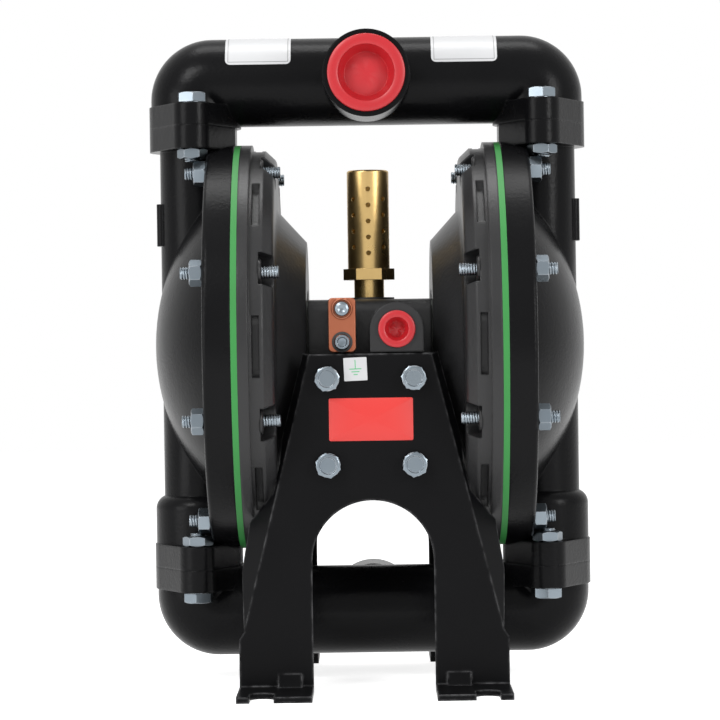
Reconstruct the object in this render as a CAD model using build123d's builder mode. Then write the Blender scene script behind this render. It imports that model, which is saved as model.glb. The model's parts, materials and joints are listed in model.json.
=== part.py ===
from build123d import *
from math import acos, cos, degrees, radians, sin, sqrt
import os

# Air operated double diaphragm pump, millimetres.
# X runs across the pump, Y from front to back, Z up; the origin is on the floor under the middle.

# layout
axis_height = 166.6           # floor to the diaphragm axis
seam_face = 65.8              # middle plane to the inner face of a fluid cap
diaphragm_thickness = 3.0
flange_radius = 101.0         # caps and diaphragm bead
leg_offset = 86.2             # middle plane to the fluid columns
joint_rise = 8.5              # edge of the flanges to the manifold joints
joint_height = flange_radius + joint_rise
running_gap = 0.05            # radial clearance of everything that slides
fit_gap = 0.1                 # radial clearance of everything that is fitted and stays
seat_gap = 0.3                # curved faces that only rest on each other

# fluid caps
fluid_flange = 13.6
dome_radius = 110.0
dome_apex = 107.4
dome_wall = 5.5
column_radius = 18.0
column_bore = 13.0
housing_radius = 22.3
housing_length = 36.0
housing_shoulder = 7.0
ear_spread = 31.0
ear_radius = 9.5
ear_boss = 23.0
cap_ear_thickness = 11.5
pad_width = 14.0
pad_low = 51.0
pad_high = 72.0
pad_reach = 106.0

# flange studs and nuts
stud_count = 8
stud_margin = 8.7
stud_circle = flange_radius - stud_margin
stud_radius = 3.175
stud_inner_end = 42.9
stud_outer_end = 89.9
stud_nut_flats = 11.1
stud_nut_height = 6.2

# air caps
rim_thickness = 5.3
rim_step = 3.0
shoulder_radius = flange_radius - rim_step
shoulder_face = 50.8
back_face = 45.5
back_step = 8.0
back_radius = flange_radius - back_step
cone_foot = 68.0
hub_face = 31.0
hub_radius = 52.0
hub_wall = 7.0
spigot_radius = 27.7
air_chamber = 82.0
air_wall = 6.5
hub_draft = 2.0
cone_draft = 1.0
chamber_bevel = 4.0
chamber_lip = 5.0
corner_fillet = 3.0
pocket_length = 30.0
pocket_width = 9.0
pocket_web = 1.5
stud_seat = 52.6
stud_seat_radius = 8.4

# diaphragm, its plates and the rod
roll_outer = 78.0
roll_inner = 47.0
roll_rise = 8.0
plate_thickness = 4.8
inner_plate_radius = 42.0
outer_plate_radius = 45.0
outer_plate_thickness = 5.2
screw_radius = 5.0
screw_flats = 17.0
screw_head = 6.0
screw_engaged = 18.0
screw_run_out = 4.0
rod_radius = 8.0
rod_relief = 0.6
bush_radius = 11.0
bush_length = 12.0
seal_radius = 10.5
seal_width = 3.0

# ball valves
ball_radius = 14.3
ball_bore = 17.5
ball_lift = 6.5
seat_radius = 19.0
seat_height = 4.5
seat_bore = 11.0
ring_inner = 14.0
ring_outer = 16.4
ring_depth = 1.6

# manifolds
tube_radius = 22.0
tube_bore = 17.0
tube_rise = 23.0
elbow_radius = 9.0
manifold_flange = 11.0
stop_width = 4.0
stop_length = 16.0
port_face = 53.0
port_boss_radius = 21.4
port_bore = 14.65
port_depth = 20.0
port_shoulder = 1.5

# manifold bolts
bolt_radius = 4.0
bolt_flats = 13.0
bolt_head = 5.4
bolt_nut = 5.0
bolt_end = 1.5

# centre body
core_depth = 72.0
core_top = 22.6
core_bottom = -66.0
gasket_thickness = 0.6
air_screw_radius = 3.0
air_screw_head = 4.0
air_screw_flats = 9.0
air_screw_grip = 11.0
air_screw_spread = 29.0
air_screw_high = 13.5
air_screw_low = -20.0
pilot_radius = 3.0
pilot_sleeve_radius = 6.0
pilot_offset = 19.0
pilot_stop_gap = 0.3
stroke = 8.0
pilot_share = 0.5
pilot_waist = 2.0
pilot_waist_half = 6.0
pilot_groove = 2.0
pilot_groove_depth = 1.2
pilot_grooves = (6.0, 16.0, 26.0)

# air inlet
inlet_x = 13.0
inlet_z = 7.6
inlet_boss_radius = 13.0
inlet_face = 68.0
inlet_bore = 5.7
inlet_depth = 18.0
inlet_passage = 4.0
inlet_passage_end = 8.0
boss_root = 4.0

# brackets
plate_face = 70.0
sheet = 3.0
bracket_top = -4.1
bracket_top_half = 29.5
knee_half = 62.5
knee_z = -137.0
foot_half = 65.0
foot_knee_z = -141.0
leg_inner = 29.3
arch_z = -104.0
foot_reach = 114.0
slot_x = 53.1
slot_width = 11.4
slot_center = 101.0
gusset_x = 40.7
gusset_width = 11.5
gusset_height = 6.0
wing_angle = 40.0
wing_top = 5.0
wing_high = 5.6
wing_high_end = 43.0
wing_relief = 2.6
relief_start = 54.0
relief_end = 69.0
wing_low_deep = 15.0
wing_low_start = 86.0
wing_low = 12.0
wing_low_end = 110.0
wing_foot = 2.0
wing_foot_cut = 4.0
bracket_bolt_x = 20.9
bracket_bolt_high = -16.0
bracket_bolt_low = -57.6
bracket_bolt_radius = 3.0
bracket_bolt_flange = 6.0
bracket_bolt_flats = 8.0
bracket_bolt_head = 5.5
bracket_boss_radius = 8.0
boss_rib = 5.0
boss_relief = 0.6
bracket_hole_gap = 0.4
bracket_bolt_washer = 1.6
bracket_bolt_grip = 14.0

# valve block behind the centre body
block_half = 24.0
block_low = -7.4
block_high = 22.2
block_depth = 29.0
block_gasket = 0.8
gasket_lap = 4.0
spool_z = 7.0
spool_y = 50.5
spool_radius = 7.5
spool_waist = 4.5
spool_waist_half = 6.0
spool_half = 15.0
spool_travel = 4.0
spool_end_room = 0.5
spool_groove = 1.6
spool_groove_depth = 1.0
spool_groove_end = 4.0
slide_plate = 3.0
slide_half = 5.5
slide_height = 8.0
slide_lap = 3.0
slide_pocket = 2.0
port_plate_half = 14.0
port_plate_height = 14.0
port_pitch = 6.0
port_length = 6.0
port_width = 2.4
end_cap_screw = 11.0
end_cap_screw_radius = 1.2
end_cap_screw_depth = 6.0
end_cap_margin = 2.0
end_cap_rim = 3.0
end_cap_thickness = 5.0
block_screw_x = 17.5
block_screw_radius = 2.0
block_screw_inset = 4.2
block_screw_cap = 3.5
block_screw_head = 3.0
block_screw_grip = 10.0

# exhaust muffler
muffler_radius = 10.5
muffler_bore = 8.6
muffler_base = 38.3
muffler_top = 87.7
muffler_hex_flats = 22.2
muffler_hex_height = 5.6
neck_radius = 7.5
muffler_pad = 1.2
muffler_pad_radius = 12.6
muffler_floor = 2.5
neck_wall = 1.6
neck_thread = 6.6
neck_depth = 10.0
vent_radius = 1.2
vent_pitch = 8.0
vent_first = 46.0
vent_step = 3.0

# ground lug
lug_x = -13.4
lug_low = -3.4
lug_high = 23.0
lug_width = 13.5
lug_back = 59.0
lug_seat_top = 18.6
lug_seat_width = 11.0
lug_thickness = 4.0
lug_screw_radius = 2.5
lug_screw_grip = 10.0
lug_screw_head_radius = 4.0
lug_screw_head = 3.0
lug_screw_high = 17.7
lug_screw_low = 1.6
driver_slot = 1.1
driver_slot_depth = 1.2

# shipping plugs
plug_stem = 14.0
plug_rim = 19.0
plug_rim_thickness = 2.5
plug_recess = 13.4
plug_recess_depth = 9.0
air_plug_stem = 12.0
air_plug_rim = 9.0
air_plug_rim_thickness = 2.0
air_plug_recess = 4.6
air_plug_recess_depth = 8.0

across = Plane(origin=(0, 0, axis_height), x_dir=(0, 1, 0), z_dir=(1, 0, 0))
pump_axis = Axis((0, 0, axis_height), (1, 0, 0))
front = Plane(origin=(0, 0, axis_height), x_dir=(1, 0, 0), z_dir=(0, -1, 0))
column_profile = Plane(origin=(leg_offset, 0, axis_height), x_dir=(1, 0, 0), z_dir=(0, -1, 0))
column_axis = Axis((leg_offset, 0, 0), (0, 0, 1))

air_face = seam_face - diaphragm_thickness
flange_back = seam_face + fluid_flange
first_stud = 180.0 / stud_count
ears = ((leg_offset, ear_spread), (leg_offset, -ear_spread))
tube_height = joint_height + tube_rise


def level(height):
    """horizontal plane at a height above the diaphragm axis"""
    return Plane.XY.offset(axis_height + height)


def write(piece, name):
    piece.part.label = name
    export_step(piece.part, f"parts/{name}.step")


def write_pair(piece, name):
    """the right-hand piece and its mirror image"""
    write(piece, name + "_right")
    with BuildPart() as opposite:
        mirror(piece.part, about=Plane.YZ)
    write(opposite, name + "_left")


def turned_over(piece):
    """the same casting turned half round the diaphragm axis"""
    return piece.part.rotate(pump_axis, 180)


# ---- fluid cap: dome, bolting flange, column with the two ball chambers
dome_center = dome_apex - dome_radius
dome_foot_angle = degrees(acos((flange_back - dome_center) / dome_radius))
inner_dome = dome_radius - dome_wall
chamber_angle = degrees(acos((seam_face - dome_center) / inner_dome))
seat_edge_rise = sqrt(ball_radius**2 - seat_bore**2) + seat_gap
inlet_ball_z = -joint_height + seat_height + seat_edge_rise
outlet_ball_z = joint_height + seat_edge_rise
ball_bore_top = inlet_ball_z + ball_lift + sqrt(ball_radius**2 - column_bore**2) + seat_gap

with BuildPart() as fluid_cap:
    with BuildSketch(front) as cap_section:
        with BuildLine():
            dome = CenterArc((dome_center, 0), dome_radius, 0, dome_foot_angle)
            Polyline(dome @ 1, (flange_back, flange_radius), (seam_face, flange_radius),
                     (seam_face, 0), dome @ 0)
        make_face()
        outer_corner = cap_section.vertices().group_by(Axis.Y)[-1].sort_by(Axis.X)[-1]
        fillet(outer_corner, 2.0)
    revolve(axis=pump_axis)
    with BuildSketch(level(-joint_height)):
        with Locations((leg_offset, 0)):
            Circle(column_radius)
    extrude(amount=2 * joint_height)
    with BuildSketch(column_profile) as housing_section:
        with Locations((housing_radius / 2, housing_length / 2 - joint_height)):
            Rectangle(housing_radius, housing_length)
        shoulder = housing_section.vertices().group_by(Axis.Y)[-1].sort_by(Axis.X)[-1]
        fillet(shoulder, housing_shoulder)
    revolve(axis=column_axis)
    for ear_base in (-joint_height, joint_height - cap_ear_thickness):
        with BuildSketch(level(ear_base)):
            with Locations((leg_offset, 0)):
                Circle(ear_boss)
            with Locations(*ears):
                Circle(ear_radius)
            make_hull()
        extrude(amount=cap_ear_thickness)
    with BuildSketch(level(pad_low)):
        with Locations((leg_offset + (pad_reach - leg_offset) / 2, 0)):
            RectangleRounded(pad_reach - leg_offset, pad_width, 2.5)
    extrude(amount=pad_high - pad_low)
    split(bisect_by=Plane.YZ.offset(seam_face), keep=Keep.TOP)
    with BuildSketch(front):
        with BuildLine():
            chamber = CenterArc((dome_center, 0), inner_dome, 0, chamber_angle)
            Polyline(chamber @ 1, (seam_face, 0), chamber @ 0)
        make_face()
    revolve(axis=pump_axis, mode=Mode.SUBTRACT)
    for radius, low, high in (
        (column_bore, -joint_height, joint_height),
        (ball_bore, -joint_height, ball_bore_top),
        (seat_radius + fit_gap, -joint_height, seat_height - joint_height),
        (seat_radius + fit_gap, joint_height - seat_height, joint_height),
    ):
        with BuildSketch(level(low)):
            with Locations((leg_offset, 0)):
                Circle(radius)
        extrude(amount=high - low, mode=Mode.SUBTRACT)
    for ear_base in (-joint_height, joint_height - cap_ear_thickness):
        with BuildSketch(level(ear_base)):
            with Locations(*ears):
                Circle(bolt_radius + fit_gap)
        extrude(amount=cap_ear_thickness, mode=Mode.SUBTRACT)
    with BuildSketch(across.offset(seam_face)):
        with PolarLocations(stud_circle, stud_count, start_angle=first_stud):
            Circle(stud_radius + fit_gap)
    extrude(amount=fluid_flange, mode=Mode.SUBTRACT)
write_pair(fluid_cap, "fluid_cap")

# ---- air cap: rim, shoulder with a seat at each stud, cone and hub
rim_face = air_face - rim_thickness
chamber_floor = hub_face + hub_wall
air_screws_at = [(y, z) for y in (-air_screw_spread, air_screw_spread)
                 for z in (air_screw_low, air_screw_high)]

with BuildPart() as air_cap:
    with BuildSketch(front) as air_section:
        with BuildLine():
            Polyline((air_face, flange_radius), (rim_face, flange_radius), (rim_face, shoulder_radius),
                     (shoulder_face, shoulder_radius), (back_face, back_radius), (back_face, cone_foot),
                     (hub_face, hub_radius), (hub_face, spigot_radius + fit_gap),
                     (chamber_floor, spigot_radius + fit_gap), (chamber_floor, hub_radius - hub_draft),
                     (back_face + air_wall, cone_foot - cone_draft),
                     (back_face + air_wall, air_chamber - chamber_bevel),
                     (air_face - chamber_lip, air_chamber), (air_face, air_chamber), close=True)
        make_face()
        back_corners = air_section.vertices().filter_by_position(Axis.Y, cone_foot - 0.5, back_radius + 0.5)
        fillet(back_corners, corner_fillet)
    revolve(axis=pump_axis)
    with BuildSketch(across.offset(hub_face)):
        with PolarLocations(stud_circle, stud_count, start_angle=first_stud):
            Circle(stud_seat_radius)
            with Locations((stud_seat_radius, 0)):
                Rectangle(2 * stud_seat_radius, 2 * stud_seat_radius)
    extrude(amount=stud_seat - hub_face, mode=Mode.SUBTRACT)
    with BuildSketch(across.offset(hub_face)):
        with PolarLocations(stud_circle, stud_count, start_angle=first_stud):
            Circle(stud_radius + fit_gap)
    extrude(amount=air_face - hub_face, mode=Mode.SUBTRACT)
    with BuildSketch(across.offset(shoulder_face + pocket_web)):
        with PolarLocations(shoulder_radius, stud_count):
            SlotOverall(pocket_length, pocket_width, rotation=90)
    extrude(amount=rim_face - shoulder_face - 2 * pocket_web, mode=Mode.SUBTRACT)
    with BuildSketch(across.offset(hub_face)):
        with Locations(*air_screws_at):
            Circle(air_screw_radius + fit_gap)
    extrude(amount=hub_wall, mode=Mode.SUBTRACT)
write_pair(air_cap, "air_cap")

# ---- diaphragm with its bead, roll and clamped middle
with BuildPart() as diaphragm:
    with BuildSketch(front):
        with BuildLine():
            roll_middle = (roll_inner + roll_outer) / 2
            Polyline((air_face, roll_outer), (air_face, flange_radius), (seam_face, flange_radius),
                     (seam_face, roll_outer))
            ThreePointArc((seam_face, roll_outer), (seam_face + roll_rise, roll_middle),
                          (seam_face, roll_inner))
            Polyline((seam_face, roll_inner), (seam_face, screw_radius + fit_gap),
                     (air_face, screw_radius + fit_gap), (air_face, roll_inner))
            ThreePointArc((air_face, roll_inner), (air_face + roll_rise, roll_middle),
                          (air_face, roll_outer))
        make_face()
    revolve(axis=pump_axis)
    with BuildSketch(across.offset(air_face)):
        with PolarLocations(stud_circle, stud_count, start_angle=first_stud):
            Circle(stud_radius + fit_gap)
    extrude(amount=diaphragm_thickness, mode=Mode.SUBTRACT)
write_pair(diaphragm, "diaphragm")

# ---- plates each side of the diaphragm
plate_inner_face = air_face - plate_thickness
with BuildPart() as inner_plate:
    with BuildSketch(across.offset(plate_inner_face)):
        Circle(inner_plate_radius)
        Circle(screw_radius + fit_gap, mode=Mode.SUBTRACT)
    extrude(amount=plate_thickness)
    fillet(inner_plate.edges().group_by(Axis.X)[0].sort_by(SortBy.RADIUS)[-1], 2.0)
write_pair(inner_plate, "inner_plate")

outer_plate_face = seam_face + outer_plate_thickness
with BuildPart() as outer_plate:
    with BuildSketch(front):
        with BuildLine():
            Polyline((seam_face, screw_radius + fit_gap), (seam_face, outer_plate_radius),
                     (seam_face + 1.5, outer_plate_radius))
            ThreePointArc((seam_face + 1.5, outer_plate_radius),
                          (outer_plate_face - 0.8, outer_plate_radius * 0.72),
                          (outer_plate_face, screw_flats))
            Polyline((outer_plate_face, screw_flats), (outer_plate_face, screw_radius + fit_gap),
                     (seam_face, screw_radius + fit_gap))
        make_face()
    revolve(axis=pump_axis)
write_pair(outer_plate, "outer_plate")

# ---- screw that clamps the plates to the rod
with BuildPart() as diaphragm_screw:
    with BuildSketch(across.offset(outer_plate_face)):
        RegularPolygon(screw_flats / 2, 6, major_radius=False)
    extrude(amount=screw_head)
    with BuildSketch(across.offset(plate_inner_face - screw_engaged)):
        Circle(screw_radius)
    extrude(amount=outer_plate_face - plate_inner_face + screw_engaged)
write_pair(diaphragm_screw, "diaphragm_screw")

# ---- main rod, tapped at both ends
with BuildPart() as connecting_rod:
    with BuildSketch(across):
        Circle(rod_radius)
    extrude(amount=plate_inner_face, both=True)
    chamfer(connecting_rod.edges().filter_by(GeomType.CIRCLE), 0.8)
    for end in (-1, 1):
        with BuildSketch(across.offset(end * plate_inner_face)):
            Circle(screw_radius + fit_gap)
        extrude(amount=-end * (screw_engaged + screw_run_out), mode=Mode.SUBTRACT)
write(connecting_rod, "connecting_rod")

# ---- centre body: core, spigots, bracket bosses, air inlet, muffler seat
core_face = hub_face - gasket_thickness
bracket_seat = plate_face - sheet
bolt_rows = (bracket_bolt_low, bracket_bolt_high)
bracket_bolts_at = [(x, z) for x in (-bracket_bolt_x, bracket_bolt_x) for z in bolt_rows]
block_screws_at = [(x, z) for x in (-block_screw_x, block_screw_x)
                   for z in (block_low + block_screw_inset, block_high - block_screw_inset)]
above_bracket = bracket_top + boss_relief
lug_screws_at = [(lug_x, lug_screw_low), (lug_x, lug_screw_high)]

with BuildPart() as center_body:
    with BuildSketch(across):
        with Locations((0, (core_top + core_bottom) / 2)):
            RectangleRounded(core_depth, core_top - core_bottom, 6.0)
    extrude(amount=core_face, both=True)
    for side in (-1, 1):
        with BuildSketch(across.offset(side * core_face)):
            Circle(spigot_radius)
        extrude(amount=side * (chamber_floor - core_face))
        with BuildSketch(front.offset(side * core_depth / 2)):
            with Locations(*bracket_bolts_at):
                Circle(bracket_boss_radius)
        extrude(amount=side * (bracket_seat - core_depth / 2))
        with BuildSketch(front.offset(side * core_depth / 2)):
            for z in bolt_rows:
                with Locations((0, z)):
                    Rectangle(2 * bracket_bolt_x, boss_rib)
            for x in (-bracket_bolt_x, bracket_bolt_x):
                with Locations((x, (bracket_bolt_low + bracket_bolt_high) / 2)):
                    Rectangle(boss_rib, bracket_bolt_high - bracket_bolt_low)
        extrude(amount=side * (bracket_seat - core_depth / 2 - boss_rib))
    with BuildSketch(front.offset(core_depth / 2 - boss_root)):
        with Locations((inlet_x, inlet_z)):
            Circle(inlet_boss_radius)
        with Locations((inlet_x, inlet_z - inlet_boss_radius / 2)):
            Rectangle(2 * inlet_boss_radius, inlet_boss_radius)
        with Locations((inlet_x, above_bracket - inlet_boss_radius)):
            Rectangle(3 * inlet_boss_radius, 2 * inlet_boss_radius, mode=Mode.SUBTRACT)
    extrude(amount=inlet_face - core_depth / 2 + boss_root)
    with BuildSketch(front.offset(core_depth / 2 - boss_root)):
        with Locations((lug_x, (above_bracket + lug_seat_top) / 2)):
            RectangleRounded(lug_seat_width, lug_seat_top - above_bracket, 2.0)
    extrude(amount=lug_back - core_depth / 2 + boss_root)
    with BuildSketch(level(core_top)):
        Circle(muffler_pad_radius)
    extrude(amount=muffler_pad)
    # bores along the diaphragm axis for the rod, its bushes and the pilot sleeve
    for place, radius, reach in (
        ((0, 0), rod_radius + rod_relief, chamber_floor),
        ((pilot_offset, 0), pilot_sleeve_radius + fit_gap, chamber_floor),
    ):
        with BuildSketch(across):
            with Locations(place):
                Circle(radius)
        extrude(amount=reach, both=True, mode=Mode.SUBTRACT)
    for side in (-1, 1):
        with BuildSketch(across.offset(side * chamber_floor)):
            Circle(bush_radius + fit_gap)
        extrude(amount=-side * (bush_length + seal_width), mode=Mode.SUBTRACT)
        with BuildSketch(across.offset(side * core_face)):
            with Locations(*air_screws_at):
                Circle(air_screw_radius)
        extrude(amount=-side * air_screw_grip, mode=Mode.SUBTRACT)
        with BuildSketch(front.offset(side * bracket_seat)):
            with Locations(*bracket_bolts_at):
                Circle(bracket_bolt_radius)
        extrude(amount=-side * bracket_bolt_grip, mode=Mode.SUBTRACT)
    # threaded air inlet and the passage to the valve block
    with BuildSketch(front.offset(inlet_face)):
        with Locations((inlet_x, inlet_z)):
            Circle(inlet_bore)
    extrude(amount=-inlet_depth, mode=Mode.SUBTRACT)
    with BuildSketch(front.offset(inlet_face - inlet_depth)):
        with Locations((inlet_x, inlet_z)):
            Circle(inlet_passage)
    extrude(amount=-(inlet_face - inlet_depth - core_depth / 2 + inlet_passage_end), mode=Mode.SUBTRACT)
    # exhaust seat
    with BuildSketch(level(core_top + muffler_pad)):
        Circle(neck_thread)
    extrude(amount=-neck_depth, mode=Mode.SUBTRACT)
    with BuildSketch(front.offset(lug_back)):
        with Locations(*lug_screws_at):
            Circle(lug_screw_radius)
    extrude(amount=-lug_screw_grip, mode=Mode.SUBTRACT)
    with BuildSketch(front.offset(-core_depth / 2)):
        with Locations(*block_screws_at):
            Circle(block_screw_radius)
    extrude(amount=block_screw_grip, mode=Mode.SUBTRACT)
write(center_body, "center_body")

with BuildPart() as air_cap_gasket:
    with BuildSketch(across.offset(core_face)):
        Circle(hub_radius - 2.0)
        with Locations((0, (core_top + core_bottom) / 2)):
            Rectangle(core_depth - 2.0, core_top - core_bottom - 2.0, mode=Mode.INTERSECT)
        Circle(spigot_radius + fit_gap, mode=Mode.SUBTRACT)
        with Locations(*air_screws_at):
            Circle(air_screw_radius + fit_gap, mode=Mode.SUBTRACT)
    extrude(amount=gasket_thickness)
write_pair(air_cap_gasket, "air_cap_gasket")

with BuildPart() as air_cap_screws:
    with BuildSketch(across.offset(chamber_floor)):
        with Locations(*air_screws_at):
            RegularPolygon(air_screw_flats / 2, 6, major_radius=False)
    extrude(amount=air_screw_head)
    with BuildSketch(across.offset(chamber_floor)):
        with Locations(*air_screws_at):
            Circle(air_screw_radius - running_gap)
    extrude(amount=-(chamber_floor - core_face + air_screw_grip - 2.0))
write_pair(air_cap_screws, "air_cap_screws")

# ---- rod bushes and seals
with BuildPart() as rod_bushes:
    for side in (-1, 1):
        with BuildSketch(across.offset(side * chamber_floor)):
            Circle(bush_radius)
            Circle(rod_radius + running_gap, mode=Mode.SUBTRACT)
        extrude(amount=-side * bush_length)
write(rod_bushes, "rod_bushes")

with BuildPart() as rod_seals:
    for side in (-1, 1):
        with BuildSketch(across.offset(side * (chamber_floor - bush_length))):
            Circle(bush_radius)
            Circle(rod_radius + running_gap, mode=Mode.SUBTRACT)
        extrude(amount=-side * seal_width)
write(rod_seals, "rod_seals")

# ---- pilot rod that the inner plates push at each end of the stroke
pilot_half = plate_inner_face - stroke + pilot_share * stroke - pilot_stop_gap
with BuildPart() as pilot_sleeve:
    with BuildSketch(across):
        with Locations((pilot_offset, 0)):
            Circle(pilot_sleeve_radius)
            Circle(pilot_radius + running_gap, mode=Mode.SUBTRACT)
    extrude(amount=chamber_floor - 0.5, both=True)
    for side in (-1, 1):
        for x in pilot_grooves:
            with BuildSketch(across.offset(side * x)):
                with Locations((pilot_offset, 0)):
                    Circle(pilot_sleeve_radius)
                    Circle(pilot_sleeve_radius - pilot_groove_depth, mode=Mode.SUBTRACT)
            extrude(amount=pilot_groove, mode=Mode.SUBTRACT)
write(pilot_sleeve, "pilot_sleeve")

with BuildPart() as pilot_rod:
    with BuildSketch(across):
        with Locations((pilot_offset, 0)):
            Circle(pilot_radius)
    extrude(amount=pilot_half, both=True)
    with BuildSketch(across.offset(-pilot_waist_half)):
        with Locations((pilot_offset, 0)):
            Circle(pilot_radius)
            Circle(pilot_waist, mode=Mode.SUBTRACT)
    extrude(amount=2 * pilot_waist_half, mode=Mode.SUBTRACT)
    chamfer(pilot_rod.edges().group_by(Axis.X)[-1], 0.5)
    chamfer(pilot_rod.edges().group_by(Axis.X)[0], 0.5)
write(pilot_rod, "pilot_rod")

# ---- valve block behind the centre body, with its spool and sliding valve
block_front = core_depth / 2 + block_gasket
block_back = block_front + block_depth
block_middle = (block_low + block_high) / 2
back_of_core = front.offset(-core_depth / 2)
block_plane = front.offset(-block_front)
spool_line = Plane(origin=(0, spool_y, axis_height + spool_z), x_dir=(0, 1, 0), z_dir=(1, 0, 0))
slide_room = 2 * (slide_half + spool_travel + 1.0)
slide_face = block_front + slide_plate

with BuildPart() as valve_gasket:
    with BuildSketch(back_of_core):
        with Locations((0, block_middle)):
            Rectangle(2 * block_half, block_high - block_low)
        with Locations((0, spool_z)):
            Rectangle(2 * port_plate_half - gasket_lap, port_plate_height - gasket_lap, mode=Mode.SUBTRACT)
        with Locations(*block_screws_at):
            Circle(block_screw_radius + fit_gap, mode=Mode.SUBTRACT)
    extrude(amount=-block_gasket)
write(valve_gasket, "valve_gasket")

with BuildPart() as valve_block:
    with BuildSketch(block_plane):
        with Locations((0, block_middle)):
            RectangleRounded(2 * block_half, block_high - block_low, 2.0)
    extrude(amount=-block_depth)
    with BuildSketch(block_plane):
        with Locations((0, spool_z)):
            Rectangle(2 * (port_plate_half + fit_gap), port_plate_height + 2 * fit_gap)
    extrude(amount=-slide_plate, mode=Mode.SUBTRACT)
    with BuildSketch(block_plane):
        with Locations((0, spool_z)):
            Rectangle(slide_room, slide_height + 2 * running_gap)
    extrude(amount=-(spool_y - block_front), mode=Mode.SUBTRACT)
    with BuildSketch(spool_line.offset(block_half)):
        Circle(spool_radius + running_gap)
    extrude(amount=-(block_half + spool_half + spool_travel + spool_end_room), mode=Mode.SUBTRACT)
    with BuildSketch(spool_line.offset(block_half)):
        with Locations((-end_cap_screw, 0), (end_cap_screw, 0)):
            Circle(end_cap_screw_radius)
    extrude(amount=-end_cap_screw_depth, mode=Mode.SUBTRACT)
    with BuildSketch(block_plane):
        with Locations(*block_screws_at):
            Circle(block_screw_radius + fit_gap)
    extrude(amount=-block_depth, mode=Mode.SUBTRACT)
    with BuildSketch(block_plane.offset(-block_depth)):
        with Locations(*block_screws_at):
            Circle(block_screw_cap + fit_gap)
    extrude(amount=block_screw_head, mode=Mode.SUBTRACT)
write(valve_block, "valve_block")

with BuildPart() as valve_plate:
    with BuildSketch(block_plane):
        with Locations((0, spool_z)):
            Rectangle(2 * port_plate_half, port_plate_height)
        for x in (-port_pitch, 0.0, port_pitch):
            with Locations((x, spool_z)):
                SlotOverall(port_length, port_width, rotation=90, mode=Mode.SUBTRACT)
    extrude(amount=-slide_plate)
write(valve_plate, "valve_plate")

with BuildPart() as valve_slide:
    with BuildSketch(front.offset(-slide_face)):
        with Locations((0, spool_z)):
            RectangleRounded(2 * slide_half, slide_height, 1.0)
    extrude(amount=-(spool_y - spool_waist - running_gap - slide_face))
    with BuildSketch(front.offset(-slide_face)):
        with Locations((0, spool_z)):
            RectangleRounded(2 * slide_half - slide_lap, slide_height - slide_lap, 0.8)
    extrude(amount=-slide_pocket, mode=Mode.SUBTRACT)
write(valve_slide, "valve_slide")

with BuildPart() as valve_spool:
    with BuildSketch(spool_line):
        Circle(spool_radius)
    extrude(amount=spool_half, both=True)
    with BuildSketch(spool_line):
        Circle(spool_radius)
        Circle(spool_waist, mode=Mode.SUBTRACT)
    extrude(amount=spool_waist_half, both=True, mode=Mode.SUBTRACT)
    for side in (-1, 1):
        with BuildSketch(spool_line.offset(side * (spool_half - spool_groove_end))):
            Circle(spool_radius)
            Circle(spool_radius - spool_groove_depth, mode=Mode.SUBTRACT)
        extrude(amount=side * spool_groove, mode=Mode.SUBTRACT)
write(valve_spool, "valve_spool")

with BuildPart() as valve_end_cap:
    with BuildSketch(spool_line.offset(block_half)):
        RectangleRounded(2 * (end_cap_screw + end_cap_rim), 2 * (spool_radius + end_cap_margin), 2.0)
        with Locations((-end_cap_screw, 0), (end_cap_screw, 0)):
            Circle(end_cap_screw_radius + fit_gap, mode=Mode.SUBTRACT)
    extrude(amount=end_cap_thickness)
write(valve_end_cap, "valve_end_cap")

with BuildPart() as valve_block_screws:
    with BuildSketch(block_plane.offset(-block_depth)):
        with Locations(*block_screws_at):
            Circle(block_screw_cap)
    extrude(amount=block_screw_head)
    with BuildSketch(block_plane.offset(-block_depth)):
        with Locations(*block_screws_at):
            Circle(block_screw_radius - running_gap)
    extrude(amount=block_depth + block_gasket + block_screw_grip - 2.0)
write(valve_block_screws, "valve_block_screws")

# ---- balls, seats and seat rings
def ball(height):
    with BuildPart() as one:
        with Locations((leg_offset, 0, axis_height + height)):
            Sphere(ball_radius)
    return one


write_pair(ball(inlet_ball_z), "inlet_ball")
write_pair(ball(outlet_ball_z), "outlet_ball")


def ball_seat(foot, ring_base):
    """seat with its conical edge up and the seal ring groove in its lower or upper face"""
    with BuildPart() as one:
        with BuildSketch(level(foot)):
            with Locations((leg_offset, 0)):
                Circle(seat_radius)
                Circle(seat_bore, mode=Mode.SUBTRACT)
        extrude(amount=seat_height)
        with BuildSketch(level(ring_base)):
            with Locations((leg_offset, 0)):
                Circle(ring_outer)
                Circle(ring_inner, mode=Mode.SUBTRACT)
        extrude(amount=ring_depth, mode=Mode.SUBTRACT)
    return one


inlet_ring = -joint_height
outlet_ring = joint_height - ring_depth
write_pair(ball_seat(-joint_height, inlet_ring), "inlet_seat")
write_pair(ball_seat(joint_height - seat_height, outlet_ring), "outlet_seat")

with BuildPart() as seat_rings:
    for side in (-1, 1):
        for base in (inlet_ring, outlet_ring):
            with BuildSketch(level(base)):
                with Locations((side * leg_offset, 0)):
                    Circle(ring_outer)
                    Circle(ring_inner, mode=Mode.SUBTRACT)
            extrude(amount=ring_depth)
write(seat_rings, "seat_rings")

# ---- manifold: straight tube, two elbows, bolting flanges and the threaded port
elbow_start = leg_offset - elbow_radius
elbow_plane = Plane(origin=(elbow_start, 0, axis_height + tube_height), x_dir=(0, 1, 0), z_dir=(1, 0, 0))
elbow_axis = Axis((elbow_start, 0, axis_height + tube_height - elbow_radius), (0, 1, 0))
stop_base = outlet_ball_z + ball_lift + ball_radius + seat_gap

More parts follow.
